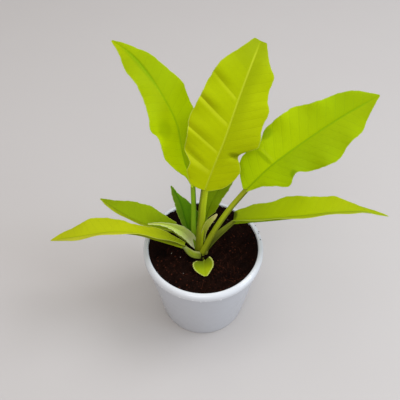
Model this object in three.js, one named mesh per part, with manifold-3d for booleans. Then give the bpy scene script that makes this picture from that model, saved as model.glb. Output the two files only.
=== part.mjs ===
// A golden saw philodendron growing in a small white plastic pot.
// Millimetres, +Z up. The origin is the middle of the pot's flat base, and -Y is the side
// that the plant is looked at from.
import * as THREE from 'three';
import { mergeVertices } from 'three/addons/utils/BufferGeometryUtils.js';
import Module from 'manifold-3d';

const wasm = await Module();
wasm.setup();

// Pot
const POT_HEIGHT = 111.5;
const POT_RIM_RADIUS = 65;
const POT_RIM_DEPTH = 8.6;
const POT_ROLL_WIDTH = 4.5;
const POT_ROLL_HEIGHT = 5;
const POT_MOUTH_RADIUS = 59.2;
const POT_NECK_RADIUS = 63;
const POT_BASE_RADIUS = 50.5;
const POT_WALL = 2.6;
const POT_FLOOR = 3;
const POT_SIDES = 44;
const DRAIN_RADIUS = 4;
const DRAIN_COUNT = 6;
const DRAIN_RING_RADIUS = 26;
const RECESS_DEPTH = 1.6;
const RECESS_INNER = 16;
const RECESS_OUTER = 36;

// Soil, with the round hole that the stem stands in
const SOIL_TOP = 106.2;
const SOIL_LUMP = 1.1;
const SOIL_RINGS = 6;
const GAP = 0.3;

// Stem: the short crown that every leaf stalk grows from
const STEM = { x: 0, y: -6, radius: 5.5, bottom: 66, top: 113 };

// Blades
const BLADE_THICKNESS = 0.7;
const BLADE_COLUMNS = [0, 0.1, 0.32, 0.56, 0.8, 1];
const SMALL_COLUMNS = [0, 0.15, 0.55, 1];
const STALK_SIDES = 10;
const STALK_STEPS = 12;

// Colours
const COLOUR = {
  pot: 0xeef0f2,
  soil: 0x2a1712,
  gold: 0xb4c800,
  lime: 0x98c000,
  bright: 0xc2cc08,
  green: 0x78a40a,
  dark: 0x3f7a0c,
  olive: 0x55780a,
  stalk: 0x93a01c,
  sheath: 0xaabb84,
};

// Every leaf. The midrib runs from the stalk to the tip. face is the way that the upper side
// looks. left and right are half widths along the midrib, seen from above with the tip ahead:
// [part of the way, millimetres]. rise is how many degrees each half stands up from flat,
// right then left, at the base, and tipRise the same at the tip. sweep is how far the right and
// left basal lobes reach back, as a part of the length. ripple waves the edges. rib is the
// midrib's depth below the blade at the base.
const LEAVES = {
  centre: {
    colour: COLOUR.gold,
    midrib: [
      [1, 6, 192], [9.5, 13, 218], [17, 21, 237], [31, 43, 273], [42, 62, 296], [49, 78, 305],
    ],
    face: [0, -0.85, 0.5],
    right: [
      [0, 3], [0.02, 8], [0.06, 16], [0.12, 21.5], [0.2, 24.5], [0.25, 22], [0.3, 18], [0.4, 31],
      [0.5, 28.5], [0.6, 29], [0.7, 23.5], [0.8, 22.5], [0.9, 13.5], [1, 6],
    ],
    left: [
      [0, 7], [0.02, 14.5], [0.05, 18.5], [0.12, 22.5], [0.16, 22], [0.25, 32], [0.33, 33.5],
      [0.45, 36.5], [0.55, 33.5], [0.65, 31.5], [0.8, 25.5], [0.9, 14.5], [1, 6],
    ],
    rise: [8, 8],
    ripple: { height: 1.5, count: 5, phase: 0.1 },
    rib: 4,
    rows: 27,
    columns: BLADE_COLUMNS,
    stalk: [[-4.5, -6.5, 108], [-4, -4.5, 130], [-2.2, -1, 155], [-1, 2, 175]],
    stalkWidth: [[0, 9], [0.3, 7.8], [1, 7.2]],
    stalkDepth: [[0, 7], [1, 5.5]],
  },
  upper_left: {
    colour: COLOUR.lime,
    midrib: [
      [-10, 24, 177], [-19, 33, 205], [-26, 46, 242], [-38, 57, 264], [-52, 70, 280],
      [-66, 82, 290], [-84, 96, 295],
    ],
    face: [0.3, -0.7, 0.7],
    right: [
      [0, 3], [0.08, 12], [0.16, 19], [0.28, 22], [0.42, 20], [0.58, 21.5], [0.7, 17], [0.85, 9],
      [1, 0.8],
    ],
    left: [
      [0, 2], [0.08, 4], [0.16, 12], [0.25, 19.5], [0.35, 21], [0.45, 26.5], [0.55, 21],
      [0.7, 15.5], [0.8, 15], [0.9, 7.5], [1, 0.8],
    ],
    rise: [12, 12],
    ripple: { height: 1.4, count: 5, phase: 0.3 },
    rib: 3,
    rows: 25,
    columns: BLADE_COLUMNS,
    stalk: [[-6, -5, 110], [-10, 3, 133], [-10, 14, 153]],
    stalkWidth: [[0, 6.5], [1, 5.2]],
    stalkDepth: [[0, 5.5], [1, 4.2]],
  },
  upper_right: {
    colour: COLOUR.lime,
    midrib: [[42, 12, 187], [62, 18, 211], [88, 26, 232], [121, 36, 254], [155, 48, 270]],
    face: [-0.2, -0.75, 0.65],
    right: [
      [0, 1.5], [0.05, 5.5], [0.1, 8.5], [0.16, 15.5], [0.24, 25.5], [0.34, 19], [0.42, 26.5],
      [0.6, 31], [0.7, 23.5], [0.8, 21], [0.9, 9.5], [1, 0.8],
    ],
    left: [
      [0, 3], [0.03, 9.5], [0.06, 15], [0.1, 21], [0.16, 25.5], [0.28, 24], [0.33, 29.5],
      [0.37, 31.5], [0.52, 32], [0.65, 24.5], [0.8, 19.5], [0.9, 13], [1, 0.8],
    ],
    rise: [10, 10],
    sweep: [0.02, 0.02],
    ripple: { height: 1.4, count: 5, phase: 0.6 },
    rib: 3.2,
    rows: 25,
    columns: BLADE_COLUMNS,
    stalk: [[-1, -10.5, 110.5], [10.2, -3, 137], [24.6, 5, 162]],
    stalkWidth: [[0, 6.6], [0.3, 6], [1, 5.4]],
    stalkDepth: [[0, 6], [1, 4.4]],
  },
  low_right: {
    colour: COLOUR.lime,
    midrib: [
      [31.5, 12, 137.3], [67, 3, 152], [98, -1, 161.5], [130, 1, 164.5], [163, 5.5, 159.5],
      [189, 7, 150.5],
    ],
    face: [0, 0, 1],
    right: [
      [0, 2.5], [0.1, 17], [0.22, 23], [0.35, 26], [0.5, 23], [0.65, 20], [0.75, 12], [0.85, 6],
      [1, 0.8],
    ],
    left: [
      [0, 12], [0.04, 16], [0.14, 22], [0.22, 20.5], [0.35, 27.5], [0.5, 22.5], [0.65, 21],
      [0.75, 12.5], [0.85, 7.5], [1, 0.8],
    ],
    rise: [50, 6],
    sweep: [0.005, 0.005],
    ripple: { height: 1, count: 4, phase: 0 },
    rib: 3,
    rows: 22,
    columns: BLADE_COLUMNS,
    stalk: [[3, -6.5, 111.5], [14.5, 3, 121.5], [25, 8.8, 130]],
    stalkWidth: [[0, 7.5], [0.5, 8.5], [0.8, 7], [1, 5]],
    stalkDepth: [[0, 5], [1, 4]],
    cup: 2,
  },
  low_left: {
    colour: COLOUR.bright,
    midrib: [
      [-20, -9, 120], [-45, -9, 132.3], [-69, -9.5, 143.4], [-94, -11.5, 148],
      [-124, -14.5, 145.2], [-156, -12, 135],
    ],
    face: [0, 0, 1],
    right: [
      [0, 5], [0.06, 9], [0.2, 13], [0.4, 12], [0.5, 15.5], [0.6, 19.5], [0.65, 20], [0.8, 15.5],
      [0.9, 9.5], [1, 0.8],
    ],
    left: [
      [0, 5], [0.1, 14], [0.25, 18], [0.4, 16.5], [0.6, 18], [0.75, 14], [0.88, 7], [1, 0.8],
    ],
    rise: [6, 66],
    tipRise: [6, 36],
    sweep: [0.005, 0.005],
    ripple: { height: 1, count: 4, phase: 0.4 },
    rib: 1.8,
    rows: 20,
    columns: BLADE_COLUMNS,
    stalk: [[-3, -13.6, 109.4], [-11, -14, 112.6]],
    stalkWidth: [[0, 9], [0.5, 9], [1, 5]],
    stalkDepth: [[0, 4.5], [1, 3.6]],
    cup: 1.4,
  },
  far_left: {
    colour: COLOUR.green,
    midrib: [
      [-32, 14, 118], [-56, 16, 123], [-73, 19, 129], [-90, 25, 136], [-102, 31, 140.6],
      [-111.5, 37.5, 143],
    ],
    face: [0, 0, 1],
    right: [
      [0, 10], [0.08, 14.5], [0.2, 20.5], [0.4, 24.5], [0.55, 22.5], [0.7, 16.5], [0.85, 9.5],
      [1, 0.8],
    ],
    left: [[0, 3], [0.2, 7], [0.45, 13], [0.7, 10], [0.85, 6], [1, 0.8]],
    rise: [6, 52],
    sweep: [0.02, 0.02],
    ripple: { height: 0.8, count: 3, phase: 0.2 },
    rib: 2.4,
    rows: 17,
    stalk: [[-7, -3, 109], [-20, 6, 113]],
    stalkWidth: [[0, 5], [1, 4.2]],
    stalkDepth: [[0, 4.5], [1, 3.4]],
  },
  small_back: {
    colour: COLOUR.dark,
    midrib: [[-14, 8, 116], [-19, 15, 134], [-25, 27, 152], [-34, 39, 162]],
    face: [0.2, -0.7, 0.7],
    right: [[0, 4], [0.16, 9], [0.4, 16], [0.6, 10], [0.8, 3], [1, 0.8]],
    left: [[0, 3], [0.3, 5], [0.55, 7], [0.75, 6], [1, 0.8]],
    rise: [20, 20],
    sweep: [0.02, 0.02],
    ripple: { height: 0.6, count: 3, phase: 0.2 },
    rib: 1.8,
    rows: 12,
    stalk: [[-5, -2, 110]],
    stalkWidth: [[0, 3.6], [1, 3]],
    stalkDepth: [[0, 3.2], [1, 2.6]],
  },
  dark_back: {
    colour: COLOUR.olive,
    midrib: [[3, 12, 145], [9, 18, 163], [21, 30, 178], [35, 45, 187]],
    face: [0.1, -0.8, 0.6],
    right: [[0, 2], [0.15, 7.5], [0.5, 8.5], [0.75, 7.5], [1, 0.8]],
    left: [[0, 4], [0.2, 10], [0.5, 13], [0.8, 8], [1, 0.8]],
    rise: [15, 15],
    sweep: [0.02, 0.02],
    ripple: { height: 0.6, count: 3, phase: 0.5 },
    rib: 2,
    rows: 12,
    stalk: [[0, -3, 110], [1, 4, 126]],
    stalkWidth: [[0, 4], [1, 3.4]],
    stalkDepth: [[0, 3.6], [1, 3]],
  },
  baby: {
    colour: COLOUR.lime,
    midrib: [[0.5, -22, 111.5], [1, -30, 110.5], [2.4, -38, 108.7]],
    face: [0, -0.15, 1],
    right: [[0, 8], [0.15, 11.5], [0.3, 12], [0.5, 10.8], [0.7, 8], [0.85, 5], [1, 2]],
    left: [[0, 6.5], [0.08, 8.5], [0.25, 10], [0.5, 9.2], [0.7, 6.5], [0.85, 4.2], [1, 1.8]],
    rise: [12, 12],
    sweep: [0.02, 0.3],
    ripple: { height: 0.3, count: 2, phase: 0 },
    rib: 1.2,
    rows: 12,
    stalk: [[0, -12, 109.5]],
    stalkWidth: [[0, 3], [1, 2]],
    stalkDepth: [[0, 2.6], [1, 1.8]],
  },
};

// Cataphylls: the thin pointed sheaths left round the crown after a leaf has unrolled
const SHEATHS = {
  pale: {
    colour: COLOUR.sheath,
    midrib: [[-8, -4, 112], [-18, -1, 130], [-30, -1, 142.5], [-43, -2, 149.5], [-56, -3, 151]],
    face: [0, -0.7, 0.75],
    right: [[0, 4], [0.2, 7], [0.45, 6.5], [0.65, 3.5], [0.8, 2], [1, 0.7]],
    left: [[0, 2.5], [0.2, 4.5], [0.45, 5], [0.65, 3], [0.8, 1.8], [1, 0.7]],
    rise: [28, 28],
    rows: 12,
  },
  pink_tipped: {
    colour: COLOUR.stalk,
    midrib: [[-1.5, -4.5, 114], [-1, -4, 132], [1.2, -3.2, 144], [5, -2, 154], [13.2, 0, 163.2]],
    face: [0.2, -0.9, 0.3],
    right: [[0, 2.4], [0.4, 3], [0.75, 3.9], [0.9, 3], [1, 1.2]],
    left: [[0, 2.4], [0.4, 3], [0.75, 3.9], [0.9, 3], [1, 1.2]],
    rise: [30, 30],
    rows: 8,
  },
};

// Smooth line through [place, value] pairs that never overshoots between two of them
function profile(pairs, place) {
  const last = pairs.length - 1;
  let k = 0;
  while (k < last - 1 && place > pairs[k + 1][0]) k += 1;
  const slope = (i) => (pairs[i + 1][1] - pairs[i][1]) / (pairs[i + 1][0] - pairs[i][0]);
  const tangent = (i) => {
    if (i === 0) return slope(0);
    if (i === last) return slope(last - 1);
    const product = slope(i - 1) * slope(i);
    return product <= 0 ? 0 : (2 * product) / (slope(i - 1) + slope(i));
  };
  const step = pairs[k + 1][0] - pairs[k][0];
  const x = Math.min(Math.max((place - pairs[k][0]) / step, 0), 1);
  const rise = 3 * x * x - 2 * x * x * x;
  return pairs[k][1] * (1 - rise) + pairs[k + 1][1] * rise
    + step * (x * (1 - x) * (1 - x) * tangent(k) - x * x * (1 - x) * tangent(k + 1));
}

const vector = (numbers) => new THREE.Vector3(...numbers);
const curveThrough = (points) => new THREE.CatmullRomCurve3(points.map(vector), false, 'chordal');

// A leaf's blade as a surface: along runs from 0 at the stalk to 1 at the tip, and across from
// -1 at the left edge over 0 at the midrib to 1 at the right edge
class Blade {
  constructor(leaf) {
    this.leaf = leaf;
    this.curve = curveThrough(leaf.midrib);
    this.length = this.curve.getLength();
  }

  frame(along) {
    const place = Math.min(Math.max(along, 0), 1);
    const ahead = this.curve.getTangentAt(place);
    const middle = this.curve.getPointAt(place).addScaledVector(ahead, (along - place) * this.length);
    const up = vector(this.leaf.face).projectOnPlane(ahead).normalize();
    const right = new THREE.Vector3().crossVectors(ahead, up);
    return { middle, ahead, up, right };
  }

  point(along, across) {
    const { leaf } = this;
    const side = across < 0 ? 1 : 0;
    const reach = Math.abs(across);
    const width = profile(side ? leaf.left : leaf.right, along);
    const tipRise = leaf.tipRise ?? leaf.rise;
    const angle = THREE.MathUtils.degToRad(THREE.MathUtils.lerp(leaf.rise[side], tipRise[side], along));
    const back = (leaf.sweep?.[side] ?? 0) * reach * (1 - along) ** 3;
    const { middle, up, right } = this.frame(along - back);
    return middle
      .addScaledVector(right, Math.sign(across) * width * reach * Math.cos(angle))
      .addScaledVector(up, width * reach * Math.sin(angle) + this.ripple(along, across));
  }

  ripple(along, across) {
    if (!this.leaf.ripple) return 0;
    const { height, count, phase } = this.leaf.ripple;
    const turn = 2 * Math.PI * (count * along + phase + (across < 0 ? 0.35 : 0));
    return height * across * across * Math.sin(turn) * Math.sqrt(Math.sin(Math.PI * Math.min(along, 1)));
  }

  normal(along, across) {
    const step = 0.01;
    const ahead = this.point(Math.min(along + step, 1), across)
      .sub(this.point(Math.max(along - step, 0), across));
    const right = this.point(along, Math.min(across + step, 1))
      .sub(this.point(along, Math.max(across - step, -1)));
    return right.cross(ahead).normalize();
  }
}

// Closed mesh of a blade, its two faces split into triangles alike. grow makes it larger all
// round, for cutting clearance in a neighbour.
function bladeGeometry(blade, grow = 0) {
  const { rows, rib = 0, columns: half = SMALL_COLUMNS } = blade.leaf;
  const columns = [...half.slice(1).reverse().map((column) => -column), ...half];
  const positions = [];
  for (const face of [1, -1]) {
    for (let row = 0; row <= rows; row += 1) {
      const along = (row / rows) ** 1.25;
      for (const across of columns) {
        const normal = blade.normal(along, across);
        const ribDepth = across === 0 && face < 0 ? rib * (1 - along) ** 1.3 : 0;
        const point = blade.point(along, across)
          .addScaledVector(normal, face * (BLADE_THICKNESS / 2 + grow + ribDepth));
        const { ahead, right } = blade.frame(along);
        if (Math.abs(across) === 1) point.addScaledVector(right, across * grow);
        if (row === 0) point.addScaledVector(ahead, -grow);
        if (row === rows) point.addScaledVector(ahead, grow);
        positions.push(...point.toArray());
      }
    }
  }
  const wide = columns.length;
  const under = (rows + 1) * wide;
  const triangles = [];
  for (let row = 0; row < rows; row += 1) {
    for (let column = 0; column < wide - 1; column += 1) {
      const a = row * wide + column;
      const b = a + 1;
      const c = a + wide;
      const d = c + 1;
      triangles.push(a, b, d, a, d, c);
      triangles.push(under + a, under + d, under + b, under + a, under + c, under + d);
    }
  }
  const edge = [];
  for (let column = 0; column < wide - 1; column += 1) edge.push(column);
  for (let row = 0; row < rows; row += 1) edge.push(row * wide + wide - 1);
  for (let column = wide - 1; column > 0; column -= 1) edge.push(rows * wide + column);
  for (let row = rows; row > 0; row -= 1) edge.push(row * wide);
  edge.forEach((from, place) => {
    const to = edge[(place + 1) % edge.length];
    triangles.push(from, under + from, under + to, from, under + to, to);
  });
  return indexedGeometry(positions, triangles);
}

// Closed mesh of a leaf stalk: rounded below, flatter and hollowed above, and tapering
function stalkGeometry(leaf, blade, grow = 0) {
  const root = blade.frame(0);
  const top = root.middle.clone()
    .addScaledVector(root.ahead, -GAP + grow)
    .addScaledVector(root.up, -0.5 * (leaf.rib + BLADE_THICKNESS / 2));
  const curve = new THREE.CatmullRomCurve3([...leaf.stalk.map(vector), top], false, 'chordal');
  const positions = [];
  for (let step = 0; step <= STALK_STEPS; step += 1) {
    const along = step / STALK_STEPS;
    const ahead = curve.getTangentAt(along);
    const up = root.up.clone().projectOnPlane(ahead).normalize();
    const right = new THREE.Vector3().crossVectors(ahead, up);
    const halfWidth = profile(leaf.stalkWidth, along) / 2 + grow;
    const halfDepth = profile(leaf.stalkDepth, along) / 2 + grow;
    const cup = (leaf.cup ?? 0.4) * (1 - along);
    for (let side = 0; side < STALK_SIDES; side += 1) {
      const angle = (2 * Math.PI * side) / STALK_SIDES;
      const high = Math.sin(angle) > 0 ? 0.7 : 1;
      const point = curve.getPointAt(along)
        .addScaledVector(right, halfWidth * Math.cos(angle))
        .addScaledVector(up, halfDepth * high * Math.sin(angle) + cup * Math.cos(angle) ** 2);
      positions.push(...point.toArray());
    }
  }
  return ringsGeometry(positions, STALK_SIDES);
}

// Closed mesh over rings of points, with a flat fan on the first ring and on the last
function ringsGeometry(positions, sides) {
  const rings = positions.length / 3 / sides;
  const triangles = [];
  for (let ring = 0; ring < rings - 1; ring += 1) {
    for (let side = 0; side < sides; side += 1) {
      const a = ring * sides + side;
      const b = ring * sides + ((side + 1) % sides);
      triangles.push(a, b + sides, b, a, a + sides, b + sides);
    }
  }
  const last = (rings - 1) * sides;
  for (let side = 1; side < sides - 1; side += 1) {
    triangles.push(0, side, side + 1);
    triangles.push(last, last + side + 1, last + side);
  }
  return indexedGeometry(positions, triangles);
}

function indexedGeometry(positions, triangles) {
  const geometry = new THREE.BufferGeometry();
  geometry.setAttribute('position', new THREE.Float32BufferAttribute(positions, 3));
  geometry.setIndex(triangles);
  return geometry;
}

// Solid of a closed geometry, and back
function solidOf(geometry) {
  const bare = geometry.clone();
  bare.deleteAttribute('normal');
  bare.deleteAttribute('uv');
  const merged = mergeVertices(bare, 1e-4);
  const corners = merged.index.array;
  const triangles = [];
  for (let k = 0; k < corners.length; k += 3) {
    const [a, b, c] = corners.slice(k, k + 3);
    if (a !== b && b !== c && c !== a) triangles.push(a, b, c);
  }
  return new wasm.Manifold(new wasm.Mesh({
    numProp: 3,
    vertProperties: merged.attributes.position.array,
    triVerts: new Uint32Array(triangles),
  }));
}

function geometryOf(solid) {
  const { vertProperties, triVerts } = solid.getMesh();
  return indexedGeometry(vertProperties, Array.from(triVerts));
}

// The largest body of a solid, so that a cut leaves no loose scrap
function largest(solid) {
  return solid.decompose().reduce((best, body) => (body.volume() > best.volume() ? body : best));
}

// Closed mesh turned about the Z axis from [radius, height] points
function turned(profilePoints, sides) {
  const points = profilePoints.map(([radius, height]) => new THREE.Vector2(radius, height));
  return new THREE.LatheGeometry(points, sides).rotateX(Math.PI / 2);
}

// Radius of the pot's inner wall at a height
function potInside(height) {
  const part = (height - POT_FLOOR) / (POT_HEIGHT - POT_FLOOR);
  return THREE.MathUtils.lerp(POT_BASE_RADIUS - POT_WALL, POT_MOUTH_RADIUS, part);
}

function potGeometry() {
  const rim = POT_HEIGHT - POT_RIM_DEPTH;
  const roll = [0, 30, 60, 90].map(THREE.MathUtils.degToRad).map((turn) => [
    POT_RIM_RADIUS - POT_ROLL_WIDTH * (1 - Math.cos(turn)),
    POT_HEIGHT - POT_ROLL_HEIGHT * (1 - Math.sin(turn)),
  ]);
  const shell = turned([
    [0, 0],
    [RECESS_INNER, 0],
    [RECESS_INNER + 1, RECESS_DEPTH],
    [RECESS_OUTER, RECESS_DEPTH],
    [RECESS_OUTER + 1, 0],
    [POT_BASE_RADIUS - 1.5, 0],
    [POT_BASE_RADIUS, 1.5],
    [POT_NECK_RADIUS, rim],
    [POT_RIM_RADIUS - 1, rim],
    [POT_RIM_RADIUS, rim + 1.2],
    ...roll,
    [POT_MOUTH_RADIUS + 0.9, POT_HEIGHT],
    [POT_MOUTH_RADIUS + 0.1, POT_HEIGHT - 0.8],
    [potInside(POT_HEIGHT - 2), POT_HEIGHT - 2],
    [potInside(POT_FLOOR), POT_FLOOR],
    [0, POT_FLOOR],
  ], POT_SIDES);
  let pot = solidOf(shell);
  for (let hole = 0; hole < DRAIN_COUNT; hole += 1) {
    const angle = (2 * Math.PI * hole) / DRAIN_COUNT;
    const drill = new THREE.CylinderGeometry(DRAIN_RADIUS, DRAIN_RADIUS, 4 * POT_FLOOR, 16)
      .rotateX(Math.PI / 2)
      .translate(DRAIN_RING_RADIUS * Math.cos(angle), DRAIN_RING_RADIUS * Math.sin(angle), 0);
    pot = pot.subtract(solidOf(drill));
  }
  return geometryOf(pot);
}

// Height of the soil's lumps above its level
function soilLump(x, y) {
  return SOIL_LUMP * (Math.sin(0.31 * x + 1.3 * Math.sin(0.17 * y)) * Math.cos(0.27 * y + 0.9)
    + 0.6 * Math.sin(0.63 * x - 0.51 * y));
}

// Soil filling the pot, its top broken up by lumps, with a plain round hole for the stem
function soilGeometry() {
  const floor = POT_FLOOR + GAP;
  const edge = potInside(SOIL_TOP) - GAP;
  const surface = [];
  for (let ring = SOIL_RINGS; ring >= 0; ring -= 1) surface.push([(edge * ring) / SOIL_RINGS, SOIL_TOP]);
  const soil = turned([[0, floor], [potInside(floor) - GAP, floor], ...surface], POT_SIDES);
  const { position } = soil.attributes;
  for (let k = 0; k < position.count; k += 1) {
    const radius = Math.hypot(position.getX(k), position.getY(k));
    if (position.getZ(k) > SOIL_TOP - 0.1 && radius < edge - 1) {
      position.setZ(k, SOIL_TOP + soilLump(position.getX(k), position.getY(k)));
    }
  }
  const depth = POT_HEIGHT - STEM.bottom + GAP;
  const hole = new THREE.CylinderGeometry(STEM.radius + GAP, STEM.radius + GAP, depth, 20)
    .rotateX(Math.PI / 2)
    .translate(STEM.x, STEM.y, STEM.bottom - GAP + depth / 2);
  return geometryOf(solidOf(soil).subtract(solidOf(hole)));
}

// Short upright crown, blunt above and narrower in the soil
function stemGeometry(grow = 0) {
  const { x, y, radius, bottom, top } = STEM;
  return turned([
    [0, bottom - grow],
    [radius * 0.6 + grow, bottom - grow],
    [radius + grow, bottom + 14],
    [radius + grow, top - 2.5],
    [radius * 0.6 + grow, top + grow],
    [0, top + grow],
  ], 16).translate(x, y, 0);
}

const plant = new THREE.Group();

function add(name, geometry, colour, roughness) {
  const material = new THREE.MeshStandardMaterial({ color: colour, roughness, metalness: 0 });
  const mesh = new THREE.Mesh(geometry, material);
  mesh.name = name;
  plant.add(mesh);
}

// Pieces that grow out of one another keep the gap: each is cut clear of those before it
const grown = [];

function addClear(name, geometry, larger, colour, roughness) {
  let solid = solidOf(geometry);
  for (const earlier of grown) solid = solid.subtract(earlier);
  add(name, geometryOf(largest(solid)), colour, roughness);
  grown.push(solidOf(larger));
}

add('pot', potGeometry(), COLOUR.pot, 0.35);
add('soil', soilGeometry(), COLOUR.soil, 0.95);
addClear('stem', stemGeometry(), stemGeometry(GAP), COLOUR.stalk, 0.5);

const blades = Object.entries(LEAVES).map(([name, leaf]) => [name, leaf, new Blade(leaf)]);
for (const [name, leaf, blade] of blades) {
  const larger = bladeGeometry(blade, GAP);
  addClear(`leaf_${name}_blade`, bladeGeometry(blade), larger, leaf.colour, 0.4);
}
for (const [name, leaf, blade] of blades) {
  const larger = stalkGeometry(leaf, blade, GAP);
  addClear(`leaf_${name}_stalk`, stalkGeometry(leaf, blade), larger, COLOUR.stalk, 0.45);
}
for (const [name, leaf] of Object.entries(SHEATHS)) {
  const blade = new Blade(leaf);
  addClear(`sheath_${name}`, bladeGeometry(blade), bladeGeometry(blade, GAP), leaf.colour, 0.35);
}

export default plant;
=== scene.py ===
"""A golden saw philodendron in a small white plastic pot: finer shapes, finishes and stage.

Every size is in metres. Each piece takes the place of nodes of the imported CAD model, and
follows the same midribs, half widths and outlines as they do. The left and right of a blade
are as seen from its upper side with the tip ahead.
"""

import math
import random

import bmesh
import bpy
import numpy as np
from mathutils import Matrix, Vector, noise


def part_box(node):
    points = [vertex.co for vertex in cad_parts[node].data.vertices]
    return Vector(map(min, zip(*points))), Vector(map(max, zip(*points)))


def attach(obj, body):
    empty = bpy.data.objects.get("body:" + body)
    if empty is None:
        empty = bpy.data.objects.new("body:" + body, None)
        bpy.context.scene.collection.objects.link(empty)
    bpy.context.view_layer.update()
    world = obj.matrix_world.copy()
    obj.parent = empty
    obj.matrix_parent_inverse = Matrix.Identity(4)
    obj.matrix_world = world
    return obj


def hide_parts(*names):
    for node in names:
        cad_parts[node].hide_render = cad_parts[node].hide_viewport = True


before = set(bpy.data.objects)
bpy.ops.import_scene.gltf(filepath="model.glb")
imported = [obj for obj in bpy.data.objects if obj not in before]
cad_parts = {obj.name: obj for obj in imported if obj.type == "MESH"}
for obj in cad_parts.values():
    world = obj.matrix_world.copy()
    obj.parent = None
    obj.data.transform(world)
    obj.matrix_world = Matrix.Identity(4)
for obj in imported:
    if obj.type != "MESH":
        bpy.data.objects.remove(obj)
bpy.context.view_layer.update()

bl_info = {
    "name": "Potted Golden Saw Philodendron",
    "version": (1, 0, 0),
    "blender": (4, 5, 0),
    "location": "View3D > Sidebar > Philodendron",
    "description": "Builds a golden saw philodendron in a small white pot, with its finishes and stage",
    "category": "Add Mesh",
}

# Pot
_, POT_TOP_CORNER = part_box("pot")
POT_HEIGHT = POT_TOP_CORNER.z
RIM_RADIUS = POT_TOP_CORNER.x
RIM_DEPTH = 0.0086
ROLL_WIDTH = 0.0045
ROLL_HEIGHT = 0.005
MOUTH_RADIUS = 0.0592
NECK_RADIUS = 0.063
BASE_RADIUS = 0.0505
WALL = 0.0026
FLOOR = 0.003
DRAIN_RADIUS = 0.004
DRAIN_COUNT = 6
DRAIN_RING_RADIUS = 0.026
RECESS_DEPTH = 0.0016
RECESS_INNER = 0.016
RECESS_OUTER = 0.036
DRILL_SIDES = 24

# Soil
SOIL_TOP = 0.1062
SOIL_BANK = 0.0036
SOIL_BANK_WIDTH = 0.009
LUMP_HEIGHT = 0.0011
SOIL_RINGS = 62
SOIL_SIDES = 180
GAP = 0.0003

# Stem
STEM_X = 0.0
STEM_Y = -0.006
STEM_RADIUS = 0.0055
STEM_BOTTOM = 0.066
STEM_TOP = 0.113
STEM_SCARS = 16
SCAR_DEPTH = 0.0005
STEM_SIDES = 40

# Blades
BLADE_THICKNESS = 0.0007
ROUTE_STEPS = 60

# Veins, ribs and stalks
CREASE_WIDTH = 0.0023
MIDRIB_GROOVE = 0.0004
GROOVE_WIDTH = 0.0011
DROOP = 0.05
RIB_REACH = 0.12
STALK_RINGS = 56
STALK_SIDES = 28
NECK_RINGS = 12
NECK_LENGTH = 0.012
SHEATH_ROWS = 60
SHEATH_COLUMNS = 14

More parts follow.
